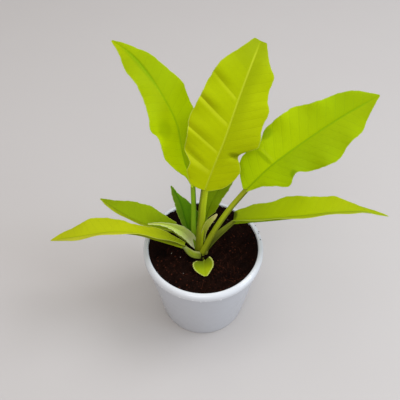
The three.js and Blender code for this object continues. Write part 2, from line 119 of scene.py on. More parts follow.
# Every leaf. The midrib runs from the stalk to the tip. face is the way that the upper side
# looks. right and left are half widths along the midrib: (part of the way, metres). rise is how
# many degrees the left and the right half stand up from flat, at the base and, in tip_rise, at
# the tip. sweep is how far the left and the right basal lobe reach back, as a part of the length.
# ripple waves the edges: (height, waves along the blade, phase). rib is the midrib's depth at the
# base. stalk holds points of the stalk from the crown up, and cup is how far its sides stand up.
LEAVES = {
    "centre": {
        "midrib": [
            (0.001, 0.006, 0.192), (0.0095, 0.013, 0.218), (0.017, 0.021, 0.237),
            (0.031, 0.043, 0.273), (0.042, 0.062, 0.296), (0.049, 0.078, 0.305),
        ],
        "face": (0, -0.85, 0.5),
        "right": [
            (0, 0.003), (0.02, 0.008), (0.06, 0.016), (0.12, 0.0215), (0.2, 0.0245), (0.25, 0.022),
            (0.3, 0.018), (0.4, 0.031), (0.5, 0.0285), (0.6, 0.029), (0.7, 0.0235), (0.8, 0.0225),
            (0.9, 0.0135), (1, 0.006),
        ],
        "left": [
            (0, 0.007), (0.02, 0.0145), (0.05, 0.0185), (0.12, 0.0225), (0.16, 0.022),
            (0.25, 0.032), (0.33, 0.0335), (0.45, 0.0365), (0.55, 0.0335), (0.65, 0.0315),
            (0.8, 0.0255), (0.9, 0.0145), (1, 0.006),
        ],
        "rise": (8, 8),
        "ripple": (0.0015, 5, 0.1),
        "rib": 0.004,
        "stalk": [
            (-0.0045, -0.0065, 0.108), (-0.004, -0.0045, 0.13), (-0.0022, -0.001, 0.155),
            (-0.001, 0.002, 0.175),
        ],
        "stalk_width": [(0, 0.009), (0.3, 0.0078), (1, 0.0072)],
        "stalk_depth": [(0, 0.007), (1, 0.0055)],
    },
    "upper_left": {
        "midrib": [
            (-0.01, 0.024, 0.177), (-0.019, 0.033, 0.205), (-0.026, 0.046, 0.242),
            (-0.038, 0.057, 0.264), (-0.052, 0.07, 0.28), (-0.066, 0.082, 0.29),
            (-0.084, 0.096, 0.295),
        ],
        "face": (0.3, -0.7, 0.7),
        "right": [
            (0, 0.003), (0.08, 0.012), (0.16, 0.019), (0.28, 0.022), (0.42, 0.02), (0.58, 0.0215),
            (0.7, 0.017), (0.85, 0.009), (1, 0.0008),
        ],
        "left": [
            (0, 0.002), (0.08, 0.004), (0.16, 0.012), (0.25, 0.0195), (0.35, 0.021),
            (0.45, 0.0265), (0.55, 0.021), (0.7, 0.0155), (0.8, 0.015), (0.9, 0.0075), (1, 0.0008),
        ],
        "rise": (12, 12),
        "ripple": (0.0014, 5, 0.3),
        "rib": 0.003,
        "stalk": [(-0.006, -0.005, 0.11), (-0.01, 0.003, 0.133), (-0.01, 0.014, 0.153)],
        "stalk_width": [(0, 0.0065), (1, 0.0052)],
        "stalk_depth": [(0, 0.0055), (1, 0.0042)],
    },
    "upper_right": {
        "midrib": [
            (0.042, 0.012, 0.187), (0.062, 0.018, 0.211), (0.088, 0.026, 0.232),
            (0.121, 0.036, 0.254), (0.155, 0.048, 0.27),
        ],
        "face": (-0.2, -0.75, 0.65),
        "right": [
            (0, 0.0015), (0.05, 0.0055), (0.1, 0.0085), (0.16, 0.0155), (0.24, 0.0255),
            (0.34, 0.019), (0.42, 0.0265), (0.6, 0.031), (0.7, 0.0235), (0.8, 0.021),
            (0.9, 0.0095), (1, 0.0008),
        ],
        "left": [
            (0, 0.003), (0.03, 0.0095), (0.06, 0.015), (0.1, 0.021), (0.16, 0.0255), (0.28, 0.024),
            (0.33, 0.0295), (0.37, 0.0315), (0.52, 0.032), (0.65, 0.0245), (0.8, 0.0195),
            (0.9, 0.013), (1, 0.0008),
        ],
        "rise": (10, 10),
        "sweep": (0.02, 0.02),
        "ripple": (0.0014, 5, 0.6),
        "rib": 0.0032,
        "stalk": [(-0.001, -0.0105, 0.1105), (0.0102, -0.003, 0.137), (0.0246, 0.005, 0.162)],
        "stalk_width": [(0, 0.0066), (0.3, 0.006), (1, 0.0054)],
        "stalk_depth": [(0, 0.006), (1, 0.0044)],
    },
    "low_right": {
        "midrib": [
            (0.0315, 0.012, 0.1373), (0.067, 0.003, 0.152), (0.098, -0.001, 0.1615),
            (0.13, 0.001, 0.1645), (0.163, 0.0055, 0.1595), (0.189, 0.007, 0.1505),
        ],
        "face": (0, 0, 1),
        "right": [
            (0, 0.0025), (0.1, 0.017), (0.22, 0.023), (0.35, 0.026), (0.5, 0.023), (0.65, 0.02),
            (0.75, 0.012), (0.85, 0.006), (1, 0.0008),
        ],
        "left": [
            (0, 0.012), (0.04, 0.016), (0.14, 0.022), (0.22, 0.0205), (0.35, 0.0275),
            (0.5, 0.0225), (0.65, 0.021), (0.75, 0.0125), (0.85, 0.0075), (1, 0.0008),
        ],
        "rise": (6, 50),
        "sweep": (0.005, 0.005),
        "ripple": (0.001, 4, 0),
        "rib": 0.003,
        "stalk": [(0.003, -0.0065, 0.1115), (0.0145, 0.003, 0.1215), (0.025, 0.0088, 0.13)],
        "stalk_width": [(0, 0.0075), (0.5, 0.0085), (0.8, 0.007), (1, 0.005)],
        "stalk_depth": [(0, 0.005), (1, 0.004)],
        "cup": 0.002,
    },
    "low_left": {
        "midrib": [
            (-0.02, -0.009, 0.12), (-0.045, -0.009, 0.1323), (-0.069, -0.0095, 0.1434),
            (-0.094, -0.0115, 0.148), (-0.124, -0.0145, 0.1452), (-0.156, -0.012, 0.135),
        ],
        "face": (0, 0, 1),
        "right": [
            (0, 0.005), (0.06, 0.009), (0.2, 0.013), (0.4, 0.012), (0.5, 0.0155), (0.6, 0.0195),
            (0.65, 0.02), (0.8, 0.0155), (0.9, 0.0095), (1, 0.0008),
        ],
        "left": [
            (0, 0.005), (0.1, 0.014), (0.25, 0.018), (0.4, 0.0165), (0.6, 0.018), (0.75, 0.014),
            (0.88, 0.007), (1, 0.0008),
        ],
        "rise": (66, 6),
        "tip_rise": (36, 6),
        "sweep": (0.005, 0.005),
        "ripple": (0.001, 4, 0.4),
        "rib": 0.0018,
        "stalk": [(-0.003, -0.0136, 0.1094), (-0.011, -0.014, 0.1126)],
        "stalk_width": [(0, 0.009), (0.5, 0.009), (1, 0.005)],
        "stalk_depth": [(0, 0.0045), (1, 0.0036)],
        "cup": 0.0014,
    },
    "far_left": {
        "midrib": [
            (-0.032, 0.014, 0.118), (-0.056, 0.016, 0.123), (-0.073, 0.019, 0.129),
            (-0.09, 0.025, 0.136), (-0.102, 0.031, 0.1406), (-0.1115, 0.0375, 0.143),
        ],
        "face": (0, 0, 1),
        "right": [
            (0, 0.01), (0.08, 0.0145), (0.2, 0.0205), (0.4, 0.0245), (0.55, 0.0225), (0.7, 0.0165),
            (0.85, 0.0095), (1, 0.0008),
        ],
        "left": [(0, 0.003), (0.2, 0.007), (0.45, 0.013), (0.7, 0.01), (0.85, 0.006), (1, 0.0008)],
        "rise": (52, 6),
        "sweep": (0.02, 0.02),
        "ripple": (0.0008, 3, 0.2),
        "rib": 0.0024,
        "stalk": [(-0.007, -0.003, 0.109), (-0.02, 0.006, 0.113)],
        "stalk_width": [(0, 0.005), (1, 0.0042)],
        "stalk_depth": [(0, 0.0045), (1, 0.0034)],
    },
    "small_back": {
        "midrib": [
            (-0.014, 0.008, 0.116), (-0.019, 0.015, 0.134), (-0.025, 0.027, 0.152),
            (-0.034, 0.039, 0.162),
        ],
        "face": (0.2, -0.7, 0.7),
        "right": [(0, 0.004), (0.16, 0.009), (0.4, 0.016), (0.6, 0.01), (0.8, 0.003), (1, 0.0008)],
        "left": [(0, 0.003), (0.3, 0.005), (0.55, 0.007), (0.75, 0.006), (1, 0.0008)],
        "rise": (20, 20),
        "sweep": (0.02, 0.02),
        "ripple": (0.0006, 3, 0.2),
        "rib": 0.0018,
        "stalk": [(-0.005, -0.002, 0.11)],
        "stalk_width": [(0, 0.0036), (1, 0.003)],
        "stalk_depth": [(0, 0.0032), (1, 0.0026)],
    },
    "dark_back": {
        "midrib": [
            (0.003, 0.012, 0.145), (0.009, 0.018, 0.163), (0.021, 0.03, 0.178),
            (0.035, 0.045, 0.187),
        ],
        "face": (0.1, -0.8, 0.6),
        "right": [(0, 0.002), (0.15, 0.0075), (0.5, 0.0085), (0.75, 0.0075), (1, 0.0008)],
        "left": [(0, 0.004), (0.2, 0.01), (0.5, 0.013), (0.8, 0.008), (1, 0.0008)],
        "rise": (15, 15),
        "sweep": (0.02, 0.02),
        "ripple": (0.0006, 3, 0.5),
        "rib": 0.002,
        "stalk": [(0, -0.003, 0.11), (0.001, 0.004, 0.126)],
        "stalk_width": [(0, 0.004), (1, 0.0034)],
        "stalk_depth": [(0, 0.0036), (1, 0.003)],
    },
    "baby": {
        "midrib": [(0.0005, -0.022, 0.1115), (0.001, -0.03, 0.1105), (0.0024, -0.038, 0.1087)],
        "face": (0, -0.15, 1),
        "right": [
            (0, 0.008), (0.15, 0.0115), (0.3, 0.012), (0.5, 0.0108), (0.7, 0.008), (0.85, 0.005),
            (1, 0.002),
        ],
        "left": [
            (0, 0.0065), (0.08, 0.0085), (0.25, 0.01), (0.5, 0.0092), (0.7, 0.0065),
            (0.85, 0.0042), (1, 0.0018),
        ],
        "rise": (12, 12),
        "sweep": (0.3, 0.02),
        "ripple": (0.0003, 2, 0),
        "rib": 0.0012,
        "stalk": [(0, -0.012, 0.1095)],
        "stalk_width": [(0, 0.003), (1, 0.002)],
        "stalk_depth": [(0, 0.0026), (1, 0.0018)],
    },
}

# Cataphylls: the thin pointed sheaths left round the crown after a leaf has unrolled
SHEATHS = {
    "pale": {
        "midrib": [
            (-0.008, -0.004, 0.112), (-0.018, -0.001, 0.13), (-0.03, -0.001, 0.1425),
            (-0.043, -0.002, 0.1495), (-0.056, -0.003, 0.151),
        ],
        "face": (0, -0.7, 0.75),
        "right": [
            (0, 0.004), (0.2, 0.007), (0.45, 0.0065), (0.65, 0.0035), (0.8, 0.002), (1, 0.0007),
        ],
        "left": [
            (0, 0.0025), (0.2, 0.0045), (0.45, 0.005), (0.65, 0.003), (0.8, 0.0018), (1, 0.0007),
        ],
        "rise": (28, 28),
    },
    "pink_tipped": {
        "midrib": [
            (-0.0015, -0.0045, 0.114), (-0.001, -0.004, 0.132), (0.0012, -0.0032, 0.144),
            (0.005, -0.002, 0.154), (0.0132, 0, 0.1632),
        ],
        "face": (0.2, -0.9, 0.3),
        "right": [(0, 0.0024), (0.4, 0.003), (0.75, 0.0039), (0.9, 0.003), (1, 0.0012)],
        "left": [(0, 0.0024), (0.4, 0.003), (0.75, 0.0039), (0.9, 0.003), (1, 0.0012)],
        "rise": (30, 30),
    },
}

# What each blade looks like. A pair is for its left and its right half, but for those of shade_band and
# margin. tones are colours from the stalk to the tip: (part of the way, colour). Besides the blade's
# own colour they carry painted light and shade, lighter or darker along the way to stand for how
# each part is lit. under is the colour of the underside and of the side veins. veins has four pairs:
# the height of the folds between the side veins, how far apart these are, where the first one leaves
# the midrib, and how far they slant towards the tip.
# fold_places are uneven starts that the left half has instead. fan is how much less they slant
# near the base, and crease how deep one more line is pressed in near the edge, beginning at
# crease_start. calm takes away a part of the ripple. fold_shading is how strong the painted
# highlights along the left side veins and the painted shade in the dips above them are, shade_band
# the colour and the strength of a band of painted shade on the right half beside the midrib, margin
# the width and the strength of the pale edge, groove how deep the midrib lies, and rib_shade how
# strong its colour is. shade_and_light_patches are soft ovals of another tone, mostly painted shade
# in folds, notches and crevices and one a painted highlight: (part of the way, distance from the
# midrib, half length as a part, half width, colour, strength), with the left side below 0.
LOOKS = {
    "centre": {
        "tones": (
            ((0, "c4d200"), (0.14, "c0ce00"), (0.35, "b8c600"), (0.75, "b0c200"), (1, "96a800")),
            ((0, "bccc00"), (0.14, "c0ce00"), (0.28, "aebc00"), (0.7, "bacc00"), (1, "9cae00")),
        ),
        "under": "8fa010", "midrib": "c8d430",
        "veins": ((0.0014, 0.0002), (0.024, 0.0085), (0.016, 0.035), (0.55, 0.57)),
        "fold_places": (-0.014, 0.0215, 0.041, 0.068, 0.091, 0.116),
        "fan": (0.45, 0),
        "crease": (0.0016, 0.003),
        "crease_start": (0.023, 0.0345),
        # Painted highlights along the left side veins and painted shade in the dips above them
        "fold_shading": 0.36,
        "calm": (0, 0.8),
        # Painted shade in a band on the right half beside the midrib
        "shade_band": ("8a9a00", 0.45),
        # Painted shade in the crevice at the notch of the right half
        "shade_and_light_patches": ((0.3, 0.015, 0.025, 0.009, "6c7200", 0.6),),
    },
    "upper_left": {
        "tones": (
            ((0, "c8de00"), (0.3, "d2ec00"), (0.5, "aabe00"), (0.85, "9cae00"), (1, "b0bc00")),
            ((0, "98b200"), (0.25, "a8c400"), (0.45, "b8d200"), (0.7, "9fb600"), (1, "a0b200")),
        ),
        "under": "7ea010", "midrib": "7fae08",
        "rib_shade": 0.45,
        "veins": ((0.00012, 0.00012), (0.008, 0.009), (0.01, 0.01), (0.5, 0.6)),
        # Painted shade in the fold beside the midrib near the tip, and a darker patch on the left half
        "shade_and_light_patches": (
            (0.78, -0.0008, 0.17, 0.0034, "789a00", 0.5),
            (0.41, -0.013, 0.08, 0.008, "84a200", 0.4),
        ),
    },
    "upper_right": {
        "tones": (
            ((0, "b8d800"), (0.2, "c2de00"), (0.5, "b5ce00"), (0.75, "a2be00"), (1, "9ab000")),
            ((0, "b4d000"), (0.2, "b2d000"), (0.35, "9eba00"), (0.75, "a4bc00"), (1, "98ac00")),
        ),
        "under": "7ea010", "midrib": "80ac08",
        "rib_shade": 0.55,
        "veins": ((0.00014, 0.0001), (0.009, 0.008), (0.012, 0.012), (0.6, 0.7)),
        # Painted shade in the folds and at a notch of this blade, with one painted highlight
        "shade_and_light_patches": (
            (0.33, -0.0275, 0.055, 0.007, "6a8e00", 0.5),
            (0.235, -0.01, 0.018, 0.013, "7c9c00", 0.45),
            (0.26, -0.011, 0.012, 0.012, "ccde28", 0.3),
            (0.32, 0.0195, 0.035, 0.006, "6a8e00", 0.6),
        ),
    },
    "low_right": {
        "tones": (
            ((0, "a2ba0c"), (0.3, "bad004"), (0.7, "b0be06"), (1, "9aa80c")),
            ((0, "a2ba0c"), (0.6, "b6c408"), (1, "9eac0a")),
        ),
        "under": "88a00e", "midrib": "8fb00c",
        "veins": ((0.00014, 0.0001), (0.009, 0.008), (0.01, 0.01), (0.6, 0.6)),
        # Painted shadow in the gap between the stalk and the basal lobes
        "shade_and_light_patches": ((0.0, -0.0065, 0.03, 0.008, "2c340c", 0.8),),
    },
    "low_left": {
        "tones": (
            ((0, "7c920a"), (0.18, "74820a"), (0.36, "dee41c"), (0.75, "d2d630"), (1, "c8cc2c")),
            ((0, "98ac14"), (0.2, "b4c214"), (0.35, "bec80c"), (0.7, "bfca14"), (1, "bcc412")),
        ),
        "under": "8c9c14", "midrib": "a4b814",
        "veins": ((0.0001, 0.00012), (0.008, 0.008), (0.01, 0.01), (0.6, 0.6)),
    },
    "far_left": {
        "tones": (
            ((0, "96ac0c"), (1, "b4c010")),
            ((0, "869f0c"), (0.2, "8fac08"), (0.4, "9cb806"), (0.7, "98b206"), (1, "889e0a")),
        ),
        "under": "7a900c", "midrib": "88a40c",
        "veins": ((0.0001, 0.00012), (0.007, 0.008), (0.01, 0.01), (0.6, 0.6)),
    },
    "small_back": {
        "tones": (
            ((0, "729a22"), (0.5, "6c981a"), (1, "668a16")),
            ((0, "5e8c0e"), (0.5, "60940c"), (1, "70a010")),
        ),
        "under": "4f8414", "midrib": "4c840c",
        "veins": ((0.0001, 0.0001), (0.005, 0.005), (0.006, 0.006), (1.6, 1.6)),
    },
    "dark_back": {
        "tones": (
            ((0, "94b40e"), (0.35, "88a60a"), (1, "789408")),
            ((0, "94ae0e"), (0.35, "809e08"), (1, "849c0a")),
        ),
        "under": "5a7a10", "midrib": "7a980c",
        "veins": ((0.0001, 0.0001), (0.005, 0.005), (0.006, 0.006), (1.6, 1.6)),
    },
    "baby": {
        "tones": (
            ((0, "5a660c"), (0.25, "7c8c0a"), (0.6, "9eb00a"), (1, "aaba10")),
            ((0, "5e6a10"), (0.3, "788c0a"), (0.6, "98ac0a"), (1, "a8b810")),
        ),
        "under": "86a416", "midrib": "8ea00c",
        "veins": ((0.00008, 0.00008), (0.004, 0.004), (0.004, 0.004), (0.5, 0.5)),
        "rib_shade": 0.3,
        "margin": (0.0018, 0.75),
        "groove": 0.0001,
    },
}

# What each stalk looks like: its tones from the foot up, the colour of its dark streaks, and, where
# they aren't the usual ones, how strong streaks and speckles are and the colour and strength of the
# painted light and shade that the left and the right side take on
STALK_LOOKS = {
    "centre": {
        "tones": ((0, "646a08"), (0.25, "788208"), (0.5, "98ac06"), (1, "9aac04")),
        "dark": "6c7008", "streaks": 0.4, "speckles": 0.7,
        "sides": (("5c6a04", 0.9), ("a4b80a", 0.4)),
    },
    "upper_left": {
        "tones": ((0, "647e08"), (0.5, "6c9008"), (0.85, "7aa006"), (1, "7c9618")),
        "dark": "5c8008",
        "sides": (("7ca008", 0.2), ("426208", 0.7)),
    },
    "upper_right": {
        "tones": (
            (0, "7a840c"), (0.3, "8c980c"), (0.55, "9cae0a"), (0.8, "96a014"), (1, "8c941a"),
        ),
        "dark": "74800c", "streaks": 0.4, "speckles": 0.5,
        "sides": (("a2ae14", 0.3), ("525a08", 0.8)),
    },
    "low_right": {
        "tones": ((0, "4c5408"), (0.35, "606a0e"), (0.7, "86960c"), (1, "8c9a18")),
        "dark": "565e10", "streaks": 0.4, "speckles": 0.2,
        "sides": (("98a81c", 0.4), ("3a400c", 0.7)),
    },
    "low_left": {
        "tones": ((0, "4e580c"), (0.35, "70800f"), (0.7, "78861a"), (1, "8e985c")),
        "dark": "606c10", "speckles": 0.2,
        "sides": (("4c5610", 0.7), ("a4a868", 0.6)),
    },
    "far_left": {
        "tones": ((0, "6c7c14"), (1, "86980c")), "dark": "5c6c14",
        "sides": (("6c7c14", 0.2), ("6c7c14", 0.2)),
    },
    "small_back": {"tones": ((0, "5c8010"), (1, "5c8814")), "dark": "486c10"},
    "dark_back": {"tones": ((0, "687c10"), (1, "74900c")), "dark": "566c10"},
    "baby": {"tones": ((0, "6c7814"), (1, "8a9a20")), "dark": "6c7a1a"},
}
CROWN_LOOK = {
    "tones": ((0, "4c4812"), (0.8, "5c5a14"), (1, "74781c")),
    "dark": "4c4612", "streaks": 0.5, "speckles": 0.2,
}

# What each sheath looks like: its tones from the foot up, its ribs, its edge and its waxy coat
SHEATH_LOOKS = {
    "pale": {
        "tones": (
            (0, "d2d2b4"), (0.12, "c4caa0"), (0.26, "aab46c"), (0.5, "a8bc4c"), (0.8, "a6b834"),
            (1, "a4b42c"),
        ),
        "ribs": "7c8e3c", "edge": "b8be8c", "coat": 0.2,
    },
    "pink_tipped": {
        "tones": (
            (0, "40460a"), (0.35, "646e10"), (0.6, "98a428"), (0.85, "a4ae44"), (1, "c8b48c"),
        ),
        "ribs": "6c7418", "edge": "b0b458", "coat": 0.0,
    },
}

# Loose bits: sizes of the crumbs, lengths and radii of the fibres, the same for a patch of them,
# sizes of the pale grains, and then the bits with a place of their own: crumbs on the rim, a mound
# of crumbs as (x, y, height), the middle of the patch of fibres and three pale grains
CRUMB_SIZES = (0.0004, 0.0006, 0.0008, 0.0011)
FIBRE_SIZES = ((0.004, 0.013), (0.00009, 0.0002))
PATCH_FIBRE_SIZES = ((0.004, 0.01), (0.0001, 0.00024))
GRAIN_SIZES = (0.0004, 0.0008)
RIM_CRUMBS = ((0.0582, 0.0252), (0.0612, 0.0168), (0.0621, 0.0061), (0.0605, 0.0142))
CROWN_MOUND = (0.001, -0.0178, 0.0066)
MOUND_CRUMBS = 90
FIBRE_PATCH = (0.022, -0.030)
PALE_GRAINS = ((-0.034, -0.0086), (0.012, 0.034), (-0.021, -0.033))

# The leaves that need fewer points, with their share of them
SMALL_LEAVES = ("small_back", "dark_back", "baby")
SMALL_SHARE = 0.55

# Soft square lamps that look at the plant: size, place and colour. Their power is a setting.
LAMPS = {
    "key": (1.1, (1.35, 0.3, 2.0), (0.93, 0.96, 1.0)),
    "fill": (1.4, (-0.3, -1.7, 2.2), (1.0, 0.98, 0.94)),
    "window": (1.0, (2.3, -0.7, 1.1), (0.72, 0.86, 1.0)),
    "ceiling": (1.4, (-0.1, 0.1, 1.7), (1.0, 0.98, 0.95)),
}
LAMP_TARGET = (0, 0, 0.1)
FLOOR_REACH = 4.0


def linear(code):
    """A colour as Blender's nodes take it, from its six-figure screen code."""
    parts = [int(code[k:k + 2], 16) / 255 for k in (0, 2, 4)]
    return (*(p / 12.92 if p <= 0.04045 else ((p + 0.055) / 1.055) ** 2.4 for p in parts), 1.0)


def tint_setting(name, description, code):
    return bpy.props.FloatVectorProperty(
        name=name, description=description, default=linear(code), size=4, min=0, max=1, subtype="COLOR",
    )


def share_setting(name, description, default):
    return bpy.props.FloatProperty(
        name=name, description=description, default=default, min=0, max=1, subtype="FACTOR",
    )


def length_setting(name, description, default, low, high):
    return bpy.props.FloatProperty(
        name=name, description=description, default=default, min=low, max=high,
        unit="LENGTH", subtype="DISTANCE",
    )


def count_setting(name, description, default, low, high):
    return bpy.props.IntProperty(
        name=name, description=description, default=default, min=low, max=high,
    )


def power_setting(name, description, default):
    return bpy.props.FloatProperty(
        name=name, description=description, default=default, min=0, unit="POWER",
    )


def place_setting(name, description, default):
    return bpy.props.FloatVectorProperty(
        name=name, description=description, default=default, size=3, unit="LENGTH", subtype="TRANSLATION",
    )


class PotSettings(bpy.types.PropertyGroup):
    """Size and finish of the pot."""

    sides: count_setting("Sides", "Flats round the pot", 160, 24, 360)
    colour: tint_setting("Colour", "Colour of the moulded plastic", "b1b3ba")
    roughness: share_setting("Roughness", "How dull the plastic is", 0.16)


class SoilSettings(bpy.types.PropertyGroup):
    """Colour of the soil, and how much lies loose on it."""

    colour: tint_setting("Colour", "Colour of the damp potting mix", "180a06")
    unevenness: length_setting("Unevenness", "Height of the small lumps", 0.0011, 0, 0.004)
    crumbs: count_setting("Crumbs", "Number of loose crumbs", 1500, 0, 4000)
    fibres: count_setting("Fibres", "Number of coir fibres", 170, 0, 500)
    grains: count_setting("Pale Grains", "Number of perlite grains", 4, 0, 100)
    seed: count_setting("Seed", "Starts the scatter, so that it is the same each time", 7, 0, 9999)


class LeafSettings(bpy.types.PropertyGroup):
    """Make of the blades and stalks."""

    thickness: length_setting("Thickness", "Thickness of a blade", BLADE_THICKNESS, 0.0002, 0.002)
    rows: count_setting("Rows", "Steps along a large blade", 120, 20, 200)
    columns: count_setting("Columns", "Steps from the midrib to the edge", 28, 6, 40)
    edge_wear: length_setting(
        "Edge Unevenness", "How far the edge strays from its smooth line", 0.0004, 0, 0.002,
    )
    roughness: share_setting("Roughness", "How dull the upper sides are", 0.5)
    light_through: share_setting("Light Through", "Share of the light that passes through a blade", 0.3)


class StageSettings(bpy.types.PropertyGroup):
    """Floor, light and camera."""

    floor_colour: tint_setting("Floor", "Colour of the plain floor", "b6b3b3")
    key_power: power_setting("Key", "Power of the large soft lamp on the right", 24)
    fill_power: power_setting("Fill", "Power of the soft lamp in front", 19)
    window_power: power_setting("Window", "Power of the low cool lamp on the right", 20)
    ceiling_power: power_setting("Ceiling", "Power of the soft lamp overhead", 7)
    sky: bpy.props.FloatProperty(
        name="Sky", description="Strength of the light from all round", default=0.6, min=0,
    )
    eye: place_setting("Camera", "Where the camera is", (-0.0036, -0.2824, 0.5092))
    target: place_setting("Target", "What the camera looks at", (-0.0036, 0.0633, 0.1115))
    lens: bpy.props.FloatProperty(
        name="Lens", description="Focal length in millimetres", default=40.5, min=10, max=200,
    )


class PlantSettings(bpy.types.PropertyGroup):
    """Every setting of the potted plant."""

    pot: bpy.props.PointerProperty(type=PotSettings)
    soil: bpy.props.PointerProperty(type=SoilSettings)
    leaf: bpy.props.PointerProperty(type=LeafSettings)
    stage: bpy.props.PointerProperty(type=StageSettings)


def unit(vectors):
    return vectors / np.linalg.norm(vectors, axis=-1, keepdims=True)


def eased(value, low, high):
    """0 up to low, 1 from high on, and a smooth rise between them."""
    x = np.clip((value - low) / (high - low), 0, 1)
    return x * x * (3 - 2 * x)


def profile(pairs, place):
    """Smooth line through (place, value) pairs that never overshoots between two of them."""
    places, values = np.array(pairs, float).T
    steps = np.diff(places)
    slopes = np.diff(values) / steps
    product = slopes[:-1] * slopes[1:]
    total = np.where(product > 0, slopes[:-1] + slopes[1:], 1)
    inner = np.where(product > 0, 2 * product / total, 0)
    tangents = np.concatenate((slopes[:1], inner, slopes[-1:]))
    k = np.clip(np.searchsorted(places, place, side="right") - 1, 0, len(steps) - 1)
    x = np.clip((place - places[k]) / steps[k], 0, 1)
    rise = x * x * (3 - 2 * x)
    bend = x * (1 - x) ** 2 * tangents[k] - x * x * (1 - x) * tangents[k + 1]
    return values[k] * (1 - rise) + values[k + 1] * rise + steps[k] * bend


class Route:
    """A smooth curve through points, followed by its own length from 0 to 1."""

    def __init__(self, points):
        points = np.array(points, float)
        knots = np.vstack((2 * points[0] - points[1], points, 2 * points[-1] - points[-2]))
        part = np.linspace(0, 1, ROUTE_STEPS, endpoint=False)[:, None]
        pieces = []
        for before, start, end, after in zip(knots, knots[1:], knots[2:], knots[3:]):
            first, middle, last = (
                np.linalg.norm(b - a) for a, b in ((before, start), (start, end), (end, after))
            )
            step = (end - start) / middle
            leave = (start - before) / first - (end - before) / (first + middle) + step
            arrive = step - (after - start) / (middle + last) + (after - end) / last
            pieces.append(
                start * (2 * part ** 3 - 3 * part ** 2 + 1) + end * (3 * part ** 2 - 2 * part ** 3)
                + middle * leave * (part ** 3 - 2 * part ** 2 + part)
                + middle * arrive * (part ** 3 - part ** 2)
            )
        self.points = np.vstack((*pieces, points[-1]))
        steps = np.linalg.norm(np.diff(self.points, axis=0), axis=1)
        self.reached = np.concatenate(((0,), np.cumsum(steps)))
        self.length = self.reached[-1]
        self.headings = unit(np.gradient(self.points, self.reached, axis=0))

    def at(self, place):
        """Points of the curve and the directions that it heads there."""
        far = np.clip(place, 0, 1) * self.length
        point, heading = (
            np.stack([np.interp(far, self.reached, values[:, k]) for k in range(3)], axis=-1)
            for values in (self.points, self.headings)
        )
        return point, unit(heading)


class Blade:
    """A leaf's blade as a surface: along runs from 0 at the stalk to 1 at the tip, and across
    from -1 at the left edge over 0 at the midrib to 1 at the right edge."""

    def __init__(self, leaf):
        self.leaf = leaf
        self.route = Route(leaf["midrib"])

    def frame(self, along):
        along = np.asarray(along, float)
        place = np.clip(along, 0, 1)
        middle, ahead = self.route.at(place)
        middle = middle + ahead * ((along - place) * self.route.length)[..., None]
        face = np.array(self.leaf["face"], float)
        up = unit(face - ahead * (ahead @ face)[..., None])
        return middle, ahead, up, np.cross(ahead, up)

    def half_width(self, along, across):
        left, right = (profile(self.leaf[side], along) for side in ("left", "right"))
        return np.where(across < 0, left, right)

    def ripple(self, along, across):
        if "ripple" not in self.leaf:
            return np.zeros_like(across)
        height, count, phase = self.leaf["ripple"]
        turn = 2 * math.pi * (count * along + phase + np.where(across < 0, 0.35, 0))
        return height * across ** 2 * np.sin(turn) * np.sqrt(np.sin(math.pi * np.clip(along, 0, 1)))

    def surface(self, along, across, width):
        rises = self.leaf["rise"], self.leaf.get("tip_rise", self.leaf["rise"])
        base, tip = (np.where(across < 0, *rise) for rise in rises)
        angle = np.radians(base + (tip - base) * along)
        reach = np.abs(across)
        back = np.where(across < 0, *self.leaf.get("sweep", (0, 0))) * reach * (1 - along) ** 3
        middle, _, up, right = self.frame(along - back)
        sideways = np.sign(across) * width * reach * np.cos(angle)
        lift = width * reach * np.sin(angle) + self.ripple(along, across)
        return middle + right * sideways[..., None] + up * lift[..., None]


def new_mesh(name, points, faces):
    mesh = bpy.data.meshes.new(name)
    mesh.from_pydata([tuple(p) for p in points], [], [tuple(f) for f in faces])
    return mesh


def add_object(name, data, place=(0, 0, 0), target=None):
    """An object in the scene. A lamp or a camera is turned from its place to its target."""
    thing = bpy.data.objects.new(name, data)
    thing.location = place
    if target:
        thing.rotation_euler = (Vector(target) - Vector(place)).to_track_quat("-Z", "Y").to_euler()
    bpy.context.scene.collection.objects.link(thing)
    return thing


def make_piece(name, points, faces, finish, nodes=(), sharp=None, readings=None):
    """A mesh with its finish, riding on the plant and standing for CAD nodes. readings are
    numbers or vectors at its points that the finish reads by name."""
    mesh = new_mesh(name, points, faces)
    for title, values in (readings or {}).items():
        values = np.asarray(values, np.float32)
        kind, field = ("FLOAT", "value") if values.ndim == 1 else ("FLOAT_VECTOR", "vector")
        mesh.attributes.new(title, kind, "POINT").data.foreach_set(field, values.ravel())
    mesh.update()
    mesh.shade_smooth()
    if sharp is not None:
        mesh.set_sharp_from_angle(angle=math.radians(sharp))
    mesh.materials.append(finish)
    piece = add_object(name, mesh)
    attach(piece, "root")
    if nodes:
        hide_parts(*nodes)
    return piece


def sheet_faces(rows, columns):
    """Faces of a closed sheet: its upper points row by row, then its lower points alike."""
    under = rows * columns
    faces = []
    for row in range(rows - 1):
        for column in range(columns - 1):
            a = row * columns + column
            b, c, d = a + 1, a + columns, a + columns + 1
            faces.append((a, b, d, c))
            faces.append((under + a, under + c, under + d, under + b))
    edge = [*range(columns)]
    edge += [row * columns + columns - 1 for row in range(1, rows)]
    edge += [(rows - 1) * columns + column for column in range(columns - 2, -1, -1)]
    edge += [row * columns for row in range(rows - 2, 0, -1)]
    faces += [(a, under + a, under + b, b) for a, b in zip(edge, edge[1:] + edge[:1])]
    return faces


def ring_faces(rings, sides):
    """Faces over rings of points, with a cap on the first ring and on the last."""
    faces = [range(sides)]
    for ring in range(rings - 1):
        for side in range(sides):
            a = ring * sides + side
            b = ring * sides + (side + 1) % sides
            faces.append((a, a + sides, b + sides, b))
    faces.append(range(rings * sides - 1, (rings - 1) * sides - 1, -1))
    return faces


